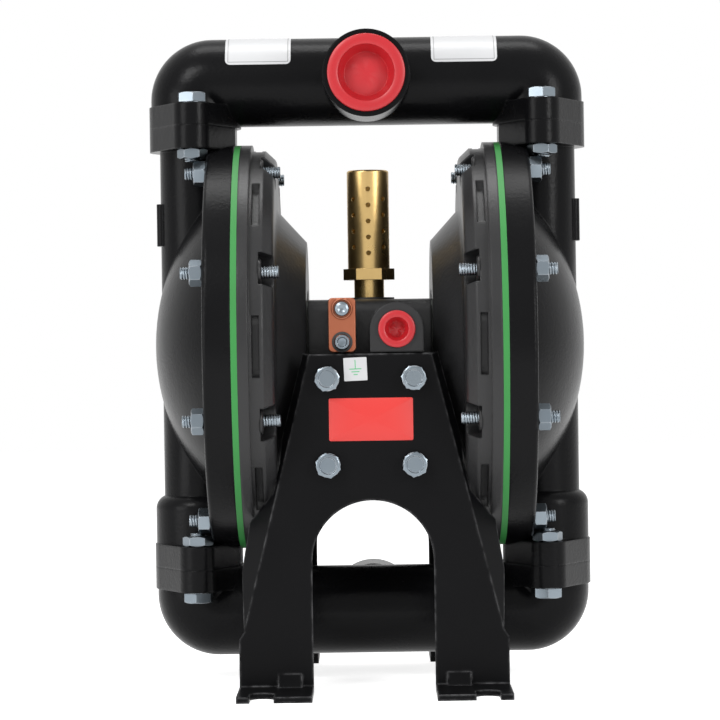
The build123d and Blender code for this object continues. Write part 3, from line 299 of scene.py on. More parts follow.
# finishes: colours are scene-linear, lengths in metres
# color and other are the two tones of the mottle; the tone after them is that of rubbed edges and the number
# after that how far they are rubbed, except on the black sheet and the red plastic, where that edge tone is a
# painted highlight
# grain is the fine noise per metre, coarse the share of the broader one, depth the height of both
# round softens edges and edge is the width of the rubbed band
plainFinish = {
    "metal": 0.0, "shine": 0.5, "coat": 0.0, "coatRough": 0.3, "dust": 0.0, "edge": edgeLook["width"],
}
finishes = {
    # a lighter copy of the black casting paint: painted light on the air caps and centre body, where the
    # light falls on them
    "paintedLightCasting": {
        "color": (0.011, 0.011, 0.0115), "other": (0.02, 0.02, 0.021), "wornAndSheen": (0.08, 0.08, 0.082),
        "wearAndSheen": 0.4, "rough": 0.36, "swing": 0.16, "grain": 560.0, "coarse": 0.9, "depth": 0.00012,
        "round": 0.0014, "dust": 0.02, "shine": 0.35,
    },
    "blackCasting": {
        "color": (0.0025, 0.0025, 0.003), "other": (0.005, 0.005, 0.0055), "wornAndSheen": (0.05, 0.05, 0.052),
        "wearAndSheen": 0.25, "rough": 0.27, "swing": 0.14, "grain": 620.0, "coarse": 0.9, "depth": 0.00009,
        "round": 0.0012, "dust": 0.004, "shine": 0.09,
    },
    # the sheet's light edge tone, rubbed through along a wide band, is a painted highlight on the bracket's
    # bends and edges
    "blackSheet": {
        "color": (0.0025, 0.0025, 0.003), "other": (0.0045, 0.0045, 0.005), "wornAndSheen": (0.16, 0.16, 0.165),
        "wearAndSheen": 1.0, "rough": 0.34, "swing": 0.1, "grain": 1500.0, "coarse": 0.3, "depth": 0.00003,
        "round": 0.0012, "dust": 0.004, "shine": 0.08, "edge": 0.0019,
    },
    "greenRubber": {
        "color": (0.018, 0.19, 0.03), "other": (0.03, 0.25, 0.05), "wornAndSheen": (0.08, 0.4, 0.13),
        "wearAndSheen": 0.3, "rough": 0.55, "swing": 0.15, "grain": 1100.0, "coarse": 0.4, "depth": 0.00004,
        "round": 0.0004, "dust": 0.05,
    },
    "zinc": {
        "color": (0.24, 0.275, 0.3), "other": (0.13, 0.16, 0.19), "wornAndSheen": (0.75, 0.76, 0.78),
        "wearAndSheen": 0.5, "rough": 0.3, "swing": 0.2, "grain": 1800.0, "coarse": 0.5, "depth": 0.00002,
        "round": 0.0003, "metal": 1.0,
    },
    "steel": {
        "color": (0.5, 0.5, 0.52), "other": (0.42, 0.42, 0.44), "wornAndSheen": (0.7, 0.7, 0.7),
        "wearAndSheen": 0.4, "rough": 0.28, "swing": 0.15, "grain": 2000.0, "coarse": 0.2, "depth": 0.00001,
        "round": 0.0003, "metal": 1.0,
    },
    "brass": {
        "color": (0.66, 0.47, 0.2), "other": (0.47, 0.31, 0.12), "wornAndSheen": (0.75, 0.55, 0.25),
        "wearAndSheen": 0.6, "rough": 0.3, "swing": 0.25, "grain": 1400.0, "coarse": 0.5, "depth": 0.00002,
        "round": 0.0003, "dust": 0.03, "metal": 1.0,
    },
    "bronze": {
        "color": (0.36, 0.22, 0.1), "other": (0.28, 0.16, 0.07), "wornAndSheen": (0.5, 0.36, 0.2),
        "wearAndSheen": 0.4, "rough": 0.45, "swing": 0.1, "grain": 2200.0, "coarse": 0.2, "depth": 0.00003,
        "round": 0.0003, "metal": 1.0,
    },
    "copper": {
        "color": (0.42, 0.145, 0.08), "other": (0.28, 0.09, 0.05), "wornAndSheen": (0.8, 0.42, 0.28),
        "wearAndSheen": 0.6, "rough": 0.36, "swing": 0.25, "grain": 1300.0, "coarse": 0.6, "depth": 0.00003,
        "round": 0.0004, "dust": 0.02, "metal": 1.0,
    },
    # the lighter red edge tone on the plugs is a painted highlight round their rims
    "redPlastic": {
        "color": (0.52, 0.011, 0.018), "other": (0.42, 0.008, 0.014), "wornAndSheen": (0.85, 0.1, 0.09),
        "wearAndSheen": 0.3, "rough": 0.38, "swing": 0.12, "grain": 1000.0, "coarse": 0.5, "depth": 0.00003,
        "round": 0.0004, "dust": 0.02, "coat": 0.1,
    },
    "whitePlastic": {
        "color": (0.78, 0.78, 0.76), "other": (0.7, 0.7, 0.68), "wornAndSheen": (0.85, 0.85, 0.84),
        "wearAndSheen": 0.2, "rough": 0.45, "swing": 0.1, "grain": 1500.0, "coarse": 0.4, "depth": 0.00002,
        "round": 0.0003,
    },
    "blackRubber": {
        "color": (0.02, 0.02, 0.02), "other": (0.03, 0.03, 0.03), "wornAndSheen": (0.05, 0.05, 0.05),
        "wearAndSheen": 0.2, "rough": 0.6, "swing": 0.1, "grain": 1500.0, "coarse": 0.4, "depth": 0.00003,
        "round": 0.0003,
    },
    "gasketSheet": {
        "color": (0.08, 0.09, 0.08), "other": (0.12, 0.13, 0.12), "wornAndSheen": (0.2, 0.2, 0.2),
        "wearAndSheen": 0.2, "rough": 0.75, "swing": 0.1, "grain": 1900.0, "coarse": 0.4, "depth": 0.00004,
        "round": 0.0002,
    },
    "aluminium": {
        "color": (0.6, 0.6, 0.61), "other": (0.5, 0.5, 0.51), "wornAndSheen": (0.75, 0.75, 0.75),
        "wearAndSheen": 0.3, "rough": 0.35, "swing": 0.1, "grain": 1600.0, "coarse": 0.3, "depth": 0.00002,
        "round": 0.0003, "metal": 1.0,
    },
    "brownFelt": {
        "color": (0.55, 0.37, 0.12), "other": (0.42, 0.28, 0.09), "wornAndSheen": (0.6, 0.42, 0.18),
        "wearAndSheen": 0.1, "rough": 0.8, "swing": 0.1, "grain": 1700.0, "coarse": 0.5, "depth": 0.0001,
        "round": 0.0002,
    },
    "whiteLabel": {
        "color": (0.62, 0.62, 0.63), "other": (0.54, 0.55, 0.56), "wornAndSheen": (0.6, 0.6, 0.58),
        "wearAndSheen": 0.3, "rough": 0.42, "swing": 0.12, "grain": 700.0, "coarse": 0.8, "depth": 0.00002,
        "round": 0.0002, "dust": 0.04, "coat": 0.2, "coatRough": 0.25,
    },
    "redLabel": {
        "color": (0.72, 0.035, 0.028), "other": (0.64, 0.028, 0.022), "wornAndSheen": (0.9, 0.3, 0.25),
        "wearAndSheen": 0.2, "rough": 0.4, "swing": 0.1, "grain": 900.0, "coarse": 0.6, "depth": 0.00002,
        "round": 0.0002, "dust": 0.03, "coat": 0.2, "coatRough": 0.25,
    },
    "greyInk": {
        "color": (0.2, 0.2, 0.2), "other": (0.26, 0.26, 0.26), "wornAndSheen": (0.35, 0.35, 0.35),
        "wearAndSheen": 0.1, "rough": 0.45, "swing": 0.1, "grain": 900.0, "coarse": 0.6, "depth": 0.00001,
        "round": 0.0001,
    },
    "greenInk": {
        "color": (0.1, 0.45, 0.2), "other": (0.14, 0.5, 0.25), "wornAndSheen": (0.3, 0.6, 0.4),
        "wearAndSheen": 0.1, "rough": 0.45, "swing": 0.1, "grain": 900.0, "coarse": 0.6, "depth": 0.00001,
        "round": 0.0001, "coat": 0.1,
    },
}


def placeGroup(tree, key, values):
    node = tree.nodes.new("ShaderNodeGroup")
    node.node_tree = groups[key]
    for title, value in values.items():
        if isinstance(value, (int, float, tuple)):
            node.inputs[title].default_value = value
        else:
            tree.links.new(value, node.inputs[title])
    return node


def makeMaterial(name, spec):
    material = bpy.data.materials.new(name)
    material.use_nodes = True
    tree = material.node_tree
    surface = tree.nodes["Principled BSDF"]
    grain = placeGroup(tree, "grain", {"Scale": spec["grain"], "Coarse Share": spec["coarse"],
                                       "Roughness": spec["rough"], "Roughness Swing": spec["swing"]})
    mottled = mixColor(tree, grain.outputs["Mottle"], spec["color"] + (1,), spec["other"] + (1,))
    edge = placeGroup(tree, "edge", {"Color": mottled, "Worn And Sheen Color": spec["wornAndSheen"] + (1,),
                                     "Amount": spec["wearAndSheen"], "Width": spec["edge"]})
    dust = placeGroup(tree, "dust", {"Color": edge.outputs["Color"], "Amount": spec["dust"]})
    tree.links.new(dust.outputs["Color"], surface.inputs["Base Color"])
    tree.links.new(grain.outputs["Roughness"], surface.inputs["Roughness"])
    surface.inputs["Metallic"].default_value = spec["metal"]
    surface.inputs["Specular IOR Level"].default_value = spec["shine"]
    surface.inputs["Coat Weight"].default_value = spec["coat"]
    surface.inputs["Coat Roughness"].default_value = spec["coatRough"]
    rounded = tree.nodes.new("ShaderNodeBevel")
    rounded.samples = edgeLook["samples"]
    rounded.inputs["Radius"].default_value = spec["round"]
    bump = tree.nodes.new("ShaderNodeBump")
    bump.inputs["Distance"].default_value = spec["depth"]
    bump.inputs["Strength"].default_value = 1.0
    tree.links.new(grain.outputs["Height"], bump.inputs["Height"])
    tree.links.new(rounded.outputs[0], bump.inputs["Normal"])
    tree.links.new(bump.outputs[0], surface.inputs["Normal"])
    return material


materials = {name: makeMaterial(name, plainFinish | spec) for name, spec in finishes.items()}

# the record's slots and the finish each one gets
slotFinish = {
    "black_casting": "blackCasting", "black_sheet": "blackSheet", "green_rubber": "greenRubber",
    "zinc": "zinc", "steel": "steel", "brass": "brass", "bronze": "bronze", "copper": "copper",
    "red_plastic": "redPlastic", "white_plastic": "whitePlastic", "black_rubber": "blackRubber",
    "gasket": "gasketSheet", "bare_aluminium": "aluminium",
}
# these nodes take the lighter copy of the casting paint, which is painted light
nodeFinish = {"air_cap_left": "paintedLightCasting", "air_cap_right": "paintedLightCasting", "center_body": "paintedLightCasting"}
slotOf = {entry["node"]: entry["material_slot"] for entry in frame["record"]["subparts"]}


def dressNodes():
    for node, slotName in slotOf.items():
        mesh = bpy.data.objects[node].data
        finish = materials[nodeFinish.get(node, slotFinish[slotName])]
        if len(mesh.materials) == 0:
            mesh.materials.append(finish)
        for index in range(len(mesh.materials)):
            mesh.materials[index] = finish


dressNodes()
print("nodes dressed:", len(slotOf))

# pieces with more form than the nodes carry; millimetres, turned into metres when a mesh is made
axisHeight = 166.6


def rowPoint(x, y, height):
    # a point of the pump, its height given from the diaphragm axis
    return Vector((x, y, height + axisHeight))


def facing(origin, direction, turn=0.0):
    # a frame whose z runs along the direction, turned about it by some degrees
    basis = Vector(direction).to_track_quat("Z", "Y").to_matrix().to_4x4()
    return Matrix.Translation(origin) @ basis @ Matrix.Rotation(math.radians(turn), 4, "Z")


def skinRings(bm, rings, place):
    # walls between rings of one point count; a ring of one point closes the end
    rows = [[bm.verts.new(place @ Vector(point) * 0.001) for point in ring] for ring in rings]
    for lower, upper in zip(rows, rows[1:]):
        count = max(len(lower), len(upper))
        for index in range(count):
            after = (index + 1) % count
            corners = [lower[index % len(lower)], lower[after % len(lower)],
                       upper[after % len(upper)], upper[index % len(upper)]]
            bm.faces.new(list(dict.fromkeys(corners)))


def finishPiece(name, bm, finish, body="root", sharp=32.0):
    # edges sharper than this many degrees stay crisp
    mesh = bpy.data.meshes.new(name)
    bmesh.ops.recalc_face_normals(bm, faces=bm.faces)
    for face in bm.faces:
        face.smooth = True
    for edge in bm.edges:
        edge.smooth = edge.calc_face_angle(0.0) < math.radians(sharp)
    bm.to_mesh(mesh)
    bm.free()
    mesh.materials.append(materials[finish])
    piece = bpy.data.objects.new(name, mesh)
    bpy.context.collection.objects.link(piece)
    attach(piece, body)
    return piece


def circleRing(radius, height, count=48):
    steps = [math.tau * index / count for index in range(count)]
    return [(radius * math.cos(angle), radius * math.sin(angle), height) for angle in steps]


def hexRing(flats, height, chamferFrom, fall, count=48):
    # a hexagon's outline, dropped where its corners pass the chamfer cone
    ring = []
    for index in range(count):
        angle = math.tau * index / count
        radius = flats / 2 / math.cos((angle + math.pi / 6) % (math.pi / 3) - math.pi / 6)
        drop = max(0.0, radius - chamferFrom) * fall
        ring.append((radius * math.cos(angle), radius * math.sin(angle), height - drop))
    return ring


hexChamfer = {"coneShare": 0.96, "fall": 0.6, "mouth": 0.5, "washerStep": 0.05, "dishTaper": 0.93}


def hexHead(bm, spec, place):
    # washer face, chamfered hexagon, and a shallow dish in the top
    flats, washer, top = spec["flats"], spec["washerHeight"], spec["height"]
    cone = flats / 2 * hexChamfer["coneShare"]
    dish = flats / 2 * spec["dishShare"]
    floor = top - spec["dishDepth"]
    skinRings(bm, [
        circleRing(spec["hole"], 0.0), circleRing(spec["washer"], 0.0), circleRing(spec["washer"], washer),
        hexRing(flats, washer + hexChamfer["washerStep"], cone, 0.0),
        hexRing(flats, top, cone, hexChamfer["fall"]), circleRing(cone, top),
        circleRing(dish, top), circleRing(dish * hexChamfer["dishTaper"], floor),
        [(0, 0, floor)]], place)


def hexNut(bm, spec, place):
    # a hexagon chamfered at both ends, with a countersunk bore
    flats, hole, top = spec["flats"], spec["hole"], spec["height"]
    cone = flats / 2 * hexChamfer["coneShare"]
    fall, mouth = hexChamfer["fall"], hexChamfer["mouth"]
    skinRings(bm, [
        circleRing(hole, 0.0), hexRing(flats, 0.0, cone, -fall), hexRing(flats, top, cone, fall),
        circleRing(cone, top), circleRing(hole + mouth, top), circleRing(hole, top - mouth),
        circleRing(hole, 0.0)], place)


def threadRings(spec, low, high, count=24, steps=6, endSlope=0.9):
    # a screw thread as rings whose radius rises and falls along the helix, tapered at the far end
    radius, pitch, depth = spec["radius"], spec["pitch"], spec["depth"]
    rings = []
    rows = max(2, int((high - low) / pitch * steps))
    for row in range(rows + 1):
        height = low + (high - low) * row / rows
        ring = []
        for index in range(count):
            phase = (height / pitch - index / count) % 1.0
            cut = depth * (1 - abs(2 * phase - 1))
            reach = min(radius - cut, radius - depth + (high - height) * endSlope)
            angle = math.tau * index / count
            ring.append((reach * math.cos(angle), reach * math.sin(angle), height))
        rings.append(ring)
    return rings


def threadedShank(bm, spec, plain, length, place):
    # a plain shank that ends in a thread
    rings = [circleRing(spec["radius"], 0.0, 24), circleRing(spec["radius"], plain, 24)]
    skinRings(bm, rings + threadRings(spec, plain, length) + [[(0, 0, length)]], place)


studLook = {
    "radius": 3.175, "pitch": 1.27, "depth": 0.5, "circle": 92.3, "count": 8,
    "innerEnd": 42.9, "outerEnd": 89.9, "innerThread": 11.0, "outerThread": 12.0,
    "outerTurn": 31.0, "innerTurn": 17.0,
}


def studPlaces(look):
    for index in range(look["count"]):
        angle = math.tau * (index + 0.5) / look["count"]
        yield index, look["circle"] * math.cos(angle), look["circle"] * math.sin(angle)


def buildStuds(look):
    inner = look["innerThread"]
    middle = look["innerEnd"] + inner
    length = look["outerEnd"] - middle
    for side, word in ((-1, "left"), (1, "right")):
        bm = bmesh.new()
        for index, y, height in studPlaces(look):
            origin = rowPoint(side * middle, y, height)
            outward = facing(origin, (side, 0, 0), look["outerTurn"] * index)
            inward = facing(origin, (-side, 0, 0), look["innerTurn"] * index)
            threadedShank(bm, look, length - look["outerThread"], length, outward)
            skinRings(bm, threadRings(look, 0.0, inner) + [[(0, 0, inner)]], inward)
        piece = finishPiece("studThreads_" + word, bm, "zinc")
        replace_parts(piece, "flange_studs_" + word)


studNutLook = {
    "flats": 11.1, "height": 6.2, "hole": 3.2, "seat": 79.4, "turns": (4, -9, 13, 0, -5, 8, 17, -12),
}


def buildStudNuts(look):
    for side, word in ((-1, "left"), (1, "right")):
        bm = bmesh.new()
        for index, y, height in studPlaces(studLook):
            turn = look["turns"][index] * side
            hexNut(bm, look, facing(rowPoint(side * look["seat"], y, height), (side, 0, 0), turn))
        piece = finishPiece("studNuts_" + word, bm, "zinc")
        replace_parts(piece, "flange_nuts_" + word)


jointBoltLook = {
    "flats": 13.0, "height": 5.4, "hole": 4.0, "washer": 6.1, "washerHeight": 0.5,
    "dishShare": 0.72, "dishDepth": 0.25, "x": 86.2, "y": 31.0, "seat": 120.5, "end": 91.5,
    "radius": 4.0, "pitch": 1.25, "depth": 0.55, "thread": 14.0, "turns": (7, -11, 3, 15),
}
jointNutLook = {"flats": 13.0, "height": 5.0, "hole": 4.05, "seat": 98.0, "turns": (30, 21, 38, 27)}


def jointPlaces(look):
    places = [(x, y) for x in (-look["x"], look["x"]) for y in (-look["y"], look["y"])]
    return list(zip(places, look["turns"]))


def buildJointFasteners(bolt, nut):
    length = bolt["seat"] - bolt["end"]
    for up, word in ((1, "outlet"), (-1, "inlet")):
        bolts = bmesh.new()
        nuts = bmesh.new()
        for (x, y), turn in jointPlaces(bolt):
            seat = rowPoint(x, y, up * bolt["seat"])
            hexHead(bolts, bolt, facing(seat, (0, 0, up), turn))
            threadedShank(bolts, bolt, length - bolt["thread"], length, facing(seat, (0, 0, -up), turn))
        for ((x, y), _), turn in zip(jointPlaces(bolt), nut["turns"]):
            hexNut(nuts, nut, facing(rowPoint(x, y, up * nut["seat"]), (0, 0, -up), turn))
        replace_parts(finishPiece(word + "BoltHeads", bolts, "zinc"), word + "_bolts")
        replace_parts(finishPiece(word + "BoltNuts", nuts, "zinc"), word + "_nuts")


bracketBoltLook = {
    "flats": 11.0, "height": 5.5, "hole": 2.9, "washer": 5.9, "washerHeight": 0.5,
    "dishShare": 0.76, "dishDepth": 0.9, "x": 20.9, "heights": (-57.6, -16.0), "seat": 70.0,
    "radius": 2.95, "shank": 15.0, "turns": (12, 41, -8, 23),
}


def buildBracketBolts(look):
    for back, word in ((-1, "front"), (1, "rear")):
        bm = bmesh.new()
        places = [(x, height) for x in (-look["x"], look["x"]) for height in look["heights"]]
        for (x, height), turn in zip(places, look["turns"]):
            origin = rowPoint(x, back * look["seat"], height)
            hexHead(bm, look, facing(origin, (0, back, 0), turn))
            skinRings(bm, [circleRing(look["radius"], 0.0, 24), circleRing(look["radius"], look["shank"], 24),
                           [(0, 0, look["shank"])]], facing(origin, (0, -back, 0)))
        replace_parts(finishPiece(word + "FlangeBolts", bm, "zinc"), word + "_bracket_bolts")


studSeatLook = {"face": 52.7, "height": 1.5, "radius": 6.6, "edge": 0.7, "hole": 3.5}


def buildStudSeats(look):
    # machined round seats where the studs leave the air caps
    for side, word in ((-1, "left"), (1, "right")):
        bm = bmesh.new()
        top = look["height"]
        for index, y, height in studPlaces(studLook):
            skinRings(bm, [circleRing(look["radius"], 0.0), circleRing(look["radius"], top - look["edge"]),
                           circleRing(look["radius"] - look["edge"], top), circleRing(look["hole"], top),
                           circleRing(look["hole"], 0.0), circleRing(look["radius"], 0.0)],
                      facing(rowPoint(side * look["face"], y, height), (-side, 0, 0)))
        # the seats take the same lighter copy of the casting paint, painted light
        finishPiece("studSeats_" + word, bm, "paintedLightCasting")


buildStuds(studLook)
buildStudSeats(studSeatLook)
buildStudNuts(studNutLook)
buildJointFasteners(jointBoltLook, jointNutLook)
buildBracketBolts(bracketBoltLook)
print("fasteners built")

# flat and curved stickers; each is left bare apart from the sign for earth
tubeSticker = {
    "tube": 22.0, "tubeHeight": 132.5, "spans": ((-70.0, -37.4), (32.4, 65.2)), "from": 20.0, "to": 160.0,
    "corner": 2.6, "thickness": 0.16, "sunk": 0.02, "ripple": 0.05, "rimShare": 0.97,
    "rings": 18, "count": 96,
}


def roundedOutline(width, height, corner, count=64):
    # points round a rectangle with round corners; each side gives half of its points to a corner
    straight = (width - 2 * corner, height - 2 * corner)
    points = []
    quarter = count // 4
    for side in range(4):
        along, across = straight[side % 2], straight[(side + 1) % 2]
        turn = math.pi / 2 * side
        for step in range(quarter):
            share = step / quarter
            if share < 0.5:
                x, y = along * (share * 2 - 0.5), -across / 2 - corner
            else:
                angle = (share - 0.5) * math.pi - math.pi / 2
                x, y = along / 2 + corner * math.cos(angle), -across / 2 + corner * math.sin(angle)
            points.append((x * math.cos(turn) - y * math.sin(turn), x * math.sin(turn) + y * math.cos(turn)))
    return points


def tubePoint(look, along, angle, lift):
    # a place on the upper tube, the angle counted from its front, over the top
    radius = look["tube"] + lift
    return along, -radius * math.cos(angle), look["tubeHeight"] + radius * math.sin(angle)


def buildTubeStickers(look):
    middleAngle = math.radians((look["from"] + look["to"]) / 2)
    arc = math.radians(look["to"] - look["from"]) * look["tube"]
    levels = [(1.0, look["sunk"]), (1.0, look["thickness"]), (look["rimShare"], look["thickness"])]
    levels += [(1 - step / look["rings"], look["thickness"]) for step in range(2, look["rings"])]
    for number, (low, high) in enumerate(look["spans"]):
        bm = bmesh.new()
        middle = (low + high) / 2
        rings = []
        for share, lift in levels:
            ring = []
            for across, around in roundedOutline(high - low, arc, look["corner"], look["count"]):
                wave = math.sin(across * 0.31 + around * 0.17) if share < 0.95 else 0.0
                angle = middleAngle + around * share / look["tube"]
                raised = lift + max(0.0, look["ripple"] * wave)
                ring.append(tubePoint(look, middle + across * share, angle, raised))
            rings.append(ring)
        rings.append([tubePoint(look, middle, math.pi / 2, look["thickness"])])
        skinRings(bm, rings, Matrix.Translation((0, 0, axisHeight)))
        finishPiece("tubeSticker_%d" % (number + 1), bm, "whiteLabel")


stickerPrint = {"margin": 1.3, "line": 0.28, "lift": 0.06, "steps": 24}


def wrapStrip(bm, look, ink, span, angles):
    # a printed strip on a tube sticker, between two places along the tube and two angles in degrees
    rows = []
    for step in range(ink["steps"] + 1):
        angle = math.radians(angles[0] + (angles[1] - angles[0]) * step / ink["steps"])
        points = [tubePoint(look, along, angle, look["thickness"] + ink["lift"]) for along in span]
        rows.append([bm.verts.new(rowPoint(*point) * 0.001) for point in points])
    for first, second in zip(rows, rows[1:]):
        bm.faces.new((first[0], first[1], second[1], second[0]))


def buildStickerPrint(look, ink):
    # a thin frame near the edge of each tube sticker
    perDegree = math.radians(1) * look["tube"]
    side, line = ink["margin"], ink["line"]
    start, end = look["from"] + side / perDegree, look["to"] - side / perDegree
    for number, (low, high) in enumerate(look["spans"]):
        bm = bmesh.new()
        wrapStrip(bm, look, ink, (low + side, low + side + line), (start, end))
        wrapStrip(bm, look, ink, (high - side - line, high - side), (start, end))
        wrapStrip(bm, look, ink, (low + side, high - side), (start, start + line / perDegree))
        wrapStrip(bm, look, ink, (low + side, high - side), (end - line / perDegree, end))
        finishPiece("stickerFrame_%d" % (number + 1), bm, "greyInk")


def flatSticker(name, look, place, finish):
    width, height = look["size"]
    top, bevel = look["thickness"], look["bevel"]
    outline = roundedOutline(width, height, look["corner"])
    inner = roundedOutline(width - bevel, height - bevel, look["corner"])
    bm = bmesh.new()
    skinRings(bm, [[(x, y, 0.0) for x, y in outline], [(x, y, top * 0.7) for x, y in outline],
                   [(x, y, top) for x, y in inner], [(0, 0, top)]], place)
    finishPiece(name, bm, finish, sharp=50.0)


namePlate = {
    "size": (40.5, 20.6), "corner": 0.9, "thickness": 0.35, "bevel": 0.3, "face": 70.0, "level": -35.7,
}


def buildNamePlate(look):
    place = facing(rowPoint(0, -look["face"], look["level"]), (0, -1, 0))
    flatSticker("namePlate", look, place, "redLabel")


earthLabel = {
    "size": (11.2, 11.2), "corner": 0.4, "thickness": 0.12, "bevel": 0.3, "face": 70.0,
    "x": -7.2, "level": -11.5, "lean": 2.0, "inkSunk": 0.02, "inkProud": 0.03,
    "bars": ((0.0, 2.35, 0.45, 4.2), (0.0, 0.1, 5.8, 0.5), (0.0, -1.25, 3.9, 0.5), (0.0, -2.6, 2.0, 0.5)),
}


def buildEarthLabel(look):
    # each bar of the sign is its middle, width and height
    place = facing(rowPoint(look["x"], -look["face"], look["level"]), (0, -1, 0), look["lean"])
    flatSticker("earthLabel", look, place, "whiteLabel")
    sign = bmesh.new()
    low, high = look["thickness"] - look["inkSunk"], look["thickness"] + look["inkProud"]
    for x, y, width, height in look["bars"]:
        left, right, bottom, top = x - width / 2, x + width / 2, y - height / 2, y + height / 2
        corners = [(left, bottom), (right, bottom), (right, top), (left, top)]
        skinRings(sign, [[corner + (low,) for corner in corners], [corner + (high,) for corner in corners],
                         [(x, y, high)]], place)
    finishPiece("earthSign", sign, "greenInk")


buildTubeStickers(tubeSticker)
buildStickerPrint(tubeSticker, stickerPrint)
buildNamePlate(namePlate)
buildEarthLabel(earthLabel)
print("stickers built")

# the ground lug: a copper bar, its cable screw in a raised socket, and a hollow screw that holds it
lugLook = {
    "x": -13.4, "face": 63.0, "back": 59.0, "shank": 2.45, "shankLength": 12.0, "headHeight": 3.0,
    "bar": {"level": 9.8, "size": (13.5, 26.4), "corner": 2.2, "bevel": 0.4},
    "cable": {"level": 17.7, "turn": 24.0, "head": 3.7},
    "holding": {"level": 1.6, "head": 3.9, "bore": 2.1, "boreDepth": 2.4},
    "socket": {"radius": 5.2, "wall": 0.8, "height": 1.4},
    "ring": {"radius": 5.0, "height": 0.7},
}


def lugPlace(look, part, depth="face"):
    return facing(rowPoint(look["x"], -look[depth], part["level"]), (0, -1, 0), part.get("turn", 0.0))


def profileRings(points):
    # a turned shape from radius and height pairs; a radius of nought closes the end
    return [circleRing(radius, height) if radius else [(0, 0, height)] for radius, height in points]


def buildLugScrews(look):
    cable, holding, top = look["cable"], look["holding"], look["headHeight"]
    shank = [(look["shank"], -look["shankLength"]), (look["shank"], 0.0)]
    head, bore = cable["head"], holding["bore"]
    screws = bmesh.new()
    domed = [(head, 0.0), (head, top - 1.3), (head * 0.88, top - 0.5), (head * 0.55, top - 0.05),
             (head * 0.3, top - 0.6), (0, top - 0.7)]
    skinRings(screws, profileRings(shank + domed), lugPlace(look, cable))
    head = holding["head"]
    floor = top - holding["boreDepth"]
    hollow = [(head, 0.0), (head, top - 0.9), (head * 0.86, top), (bore * 1.2, top), (bore, top - 0.4),
              (bore, floor), (0, floor - 0.5)]
    skinRings(screws, profileRings(shank + hollow), lugPlace(look, holding))
    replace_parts(finishPiece("lugScrewHeads", screws, "zinc"), "lug_screws")


def buildLugRings(look):
    # the copper socket round the cable screw and the rubber ring round the other; both sink 0.05 into the bar
    socket, ring, inside = look["socket"], look["ring"], look["shank"] + 0.3
    outer, top = socket["radius"], socket["height"]
    bore = outer - socket["wall"]
    bm = bmesh.new()
    skinRings(bm, profileRings([(outer, -0.05), (outer, top - 0.4), (outer - 0.35, top), (bore, top - 0.1),
                                (bore - 0.2, 0.15), (inside, 0.1)]), lugPlace(look, look["cable"]))
    finishPiece("lugSocket", bm, "copper")
    outer, top = ring["radius"], ring["height"]
    bm = bmesh.new()
    skinRings(bm, profileRings([(outer, -0.05), (outer, top - 0.15), (outer - 0.25, top), (inside, top)]),
              lugPlace(look, look["holding"]))
    finishPiece("lugRing", bm, "blackRubber")


def buildLugBar(look):
    bar = look["bar"]
    width, height = bar["size"]
    top, bevel = look["face"] - look["back"], bar["bevel"]
    outline = roundedOutline(width, height, bar["corner"])
    inner = roundedOutline(width - 2 * bevel, height - 2 * bevel, bar["corner"])
    bm = bmesh.new()
    skinRings(bm, [[(0, 0, 0)], [(x, y, 0) for x, y in outline], [(x, y, top - bevel) for x, y in outline],
                   [(x, y, top) for x, y in inner], [(0, 0, top)]], lugPlace(look, bar, "back"))
    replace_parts(finishPiece("lugBar", bm, "copper"), "ground_lug")


buildLugScrews(lugLook)
buildLugRings(lugLook)
buildLugBar(lugLook)
print("ground lug dressed")

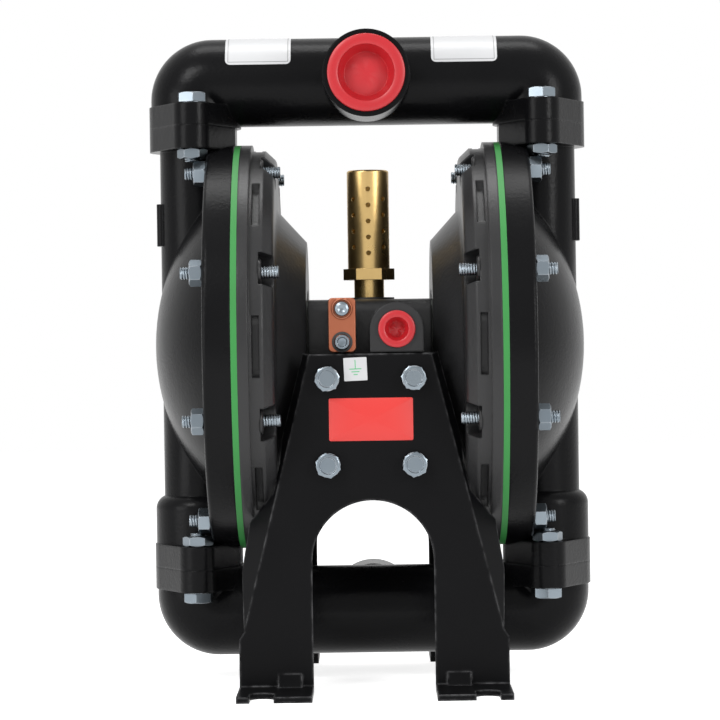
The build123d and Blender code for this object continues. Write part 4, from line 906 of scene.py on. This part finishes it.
# shipping plugs with a tapered recess and a dished floor
plugLook = {
    "port": {"rim": 19.0, "rimHeight": 2.5, "stem": 14.6, "stemLength": 14.0, "mouth": 13.7, "floor": 10.7,
             "recess": 9.0, "dish": 1.4, "edge": 0.7, "round": 0.3},
    "air": {"rim": 9.0, "rimHeight": 2.0, "stem": 5.65, "stemLength": 12.0, "mouth": 5.5, "floor": 3.6,
            "recess": 7.0, "dish": 0.6, "edge": 0.7, "round": 0.3},
}
plugPlaces = {
    "outlet_plug": ("port", (0, -53.0, 132.5), (0, -1, 0)),
    "inlet_plug": ("port", (0, 53.0, -132.5), (0, 1, 0)),
    "air_inlet_plug": ("air", (13.0, -68.0, 7.6), (0, -1, 0)),
}


def plugWave(radius, height, count=64):
    # the floor sags and lifts a little, as thin mouldings do
    ring = []
    for index in range(count):
        angle = math.tau * index / count
        lift = 0.18 * math.sin(3 * angle) + 0.1 * math.sin(5 * angle + 1)
        ring.append((radius * math.cos(angle), radius * math.sin(angle), height + lift))
    return ring


def plugRings(look):
    # from the stem's closed end, round the rim and down into the recess
    stem, rim, mouth, floor = look["stem"], look["rim"], look["mouth"], look["floor"]
    top, edge, soft = look["rimHeight"], look["edge"], look["round"]
    end, low = -look["stemLength"], top - look["recess"]
    points = [(stem - edge, end), (stem, end + edge), (stem, 0), (rim - soft, 0), (rim, soft),
              (rim, top - edge), (rim - 0.2, top - soft), (rim - edge, top), (mouth + edge, top),
              (mouth + 0.2, top - soft), (mouth, top - edge), (floor + 0.4, low + 0.6), (floor, low)]
    turned = [circleRing(radius, height, 64) for radius, height in points]
    dish = look["dish"]
    sagging = [plugWave(floor * 0.7, low + dish * 0.5), plugWave(floor * 0.35, low + dish * 0.9)]
    return [[(0, 0, end)]] + turned + sagging + [[(0, 0, low + dish)]]


def buildPlugs(looks, places):
    for node, (kind, origin, outward) in places.items():
        bm = bmesh.new()
        skinRings(bm, plugRings(looks[kind]), facing(rowPoint(*origin), outward))
        name = node.replace("_plug", "PlugMoulding")
        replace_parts(finishPiece(name, bm, "redPlastic", node), node)


buildPlugs(plugLook, plugPlaces)
print("plugs built")

# the felt sleeve inside the muffler's drilled barrel
feltSleeve = {"radius": 8.2, "low": 39.5, "high": 84.5}


def buildFelt(look):
    bm = bmesh.new()
    skinRings(bm, [[(0, 0, look["low"])], circleRing(look["radius"], look["low"]),
                   circleRing(look["radius"], look["high"]), [(0, 0, look["high"])]],
              Matrix.Translation((0, 0, axisHeight)))
    finishPiece("mufflerFelt", bm, "brownFelt")


buildFelt(feltSleeve)
print("muffler filled")
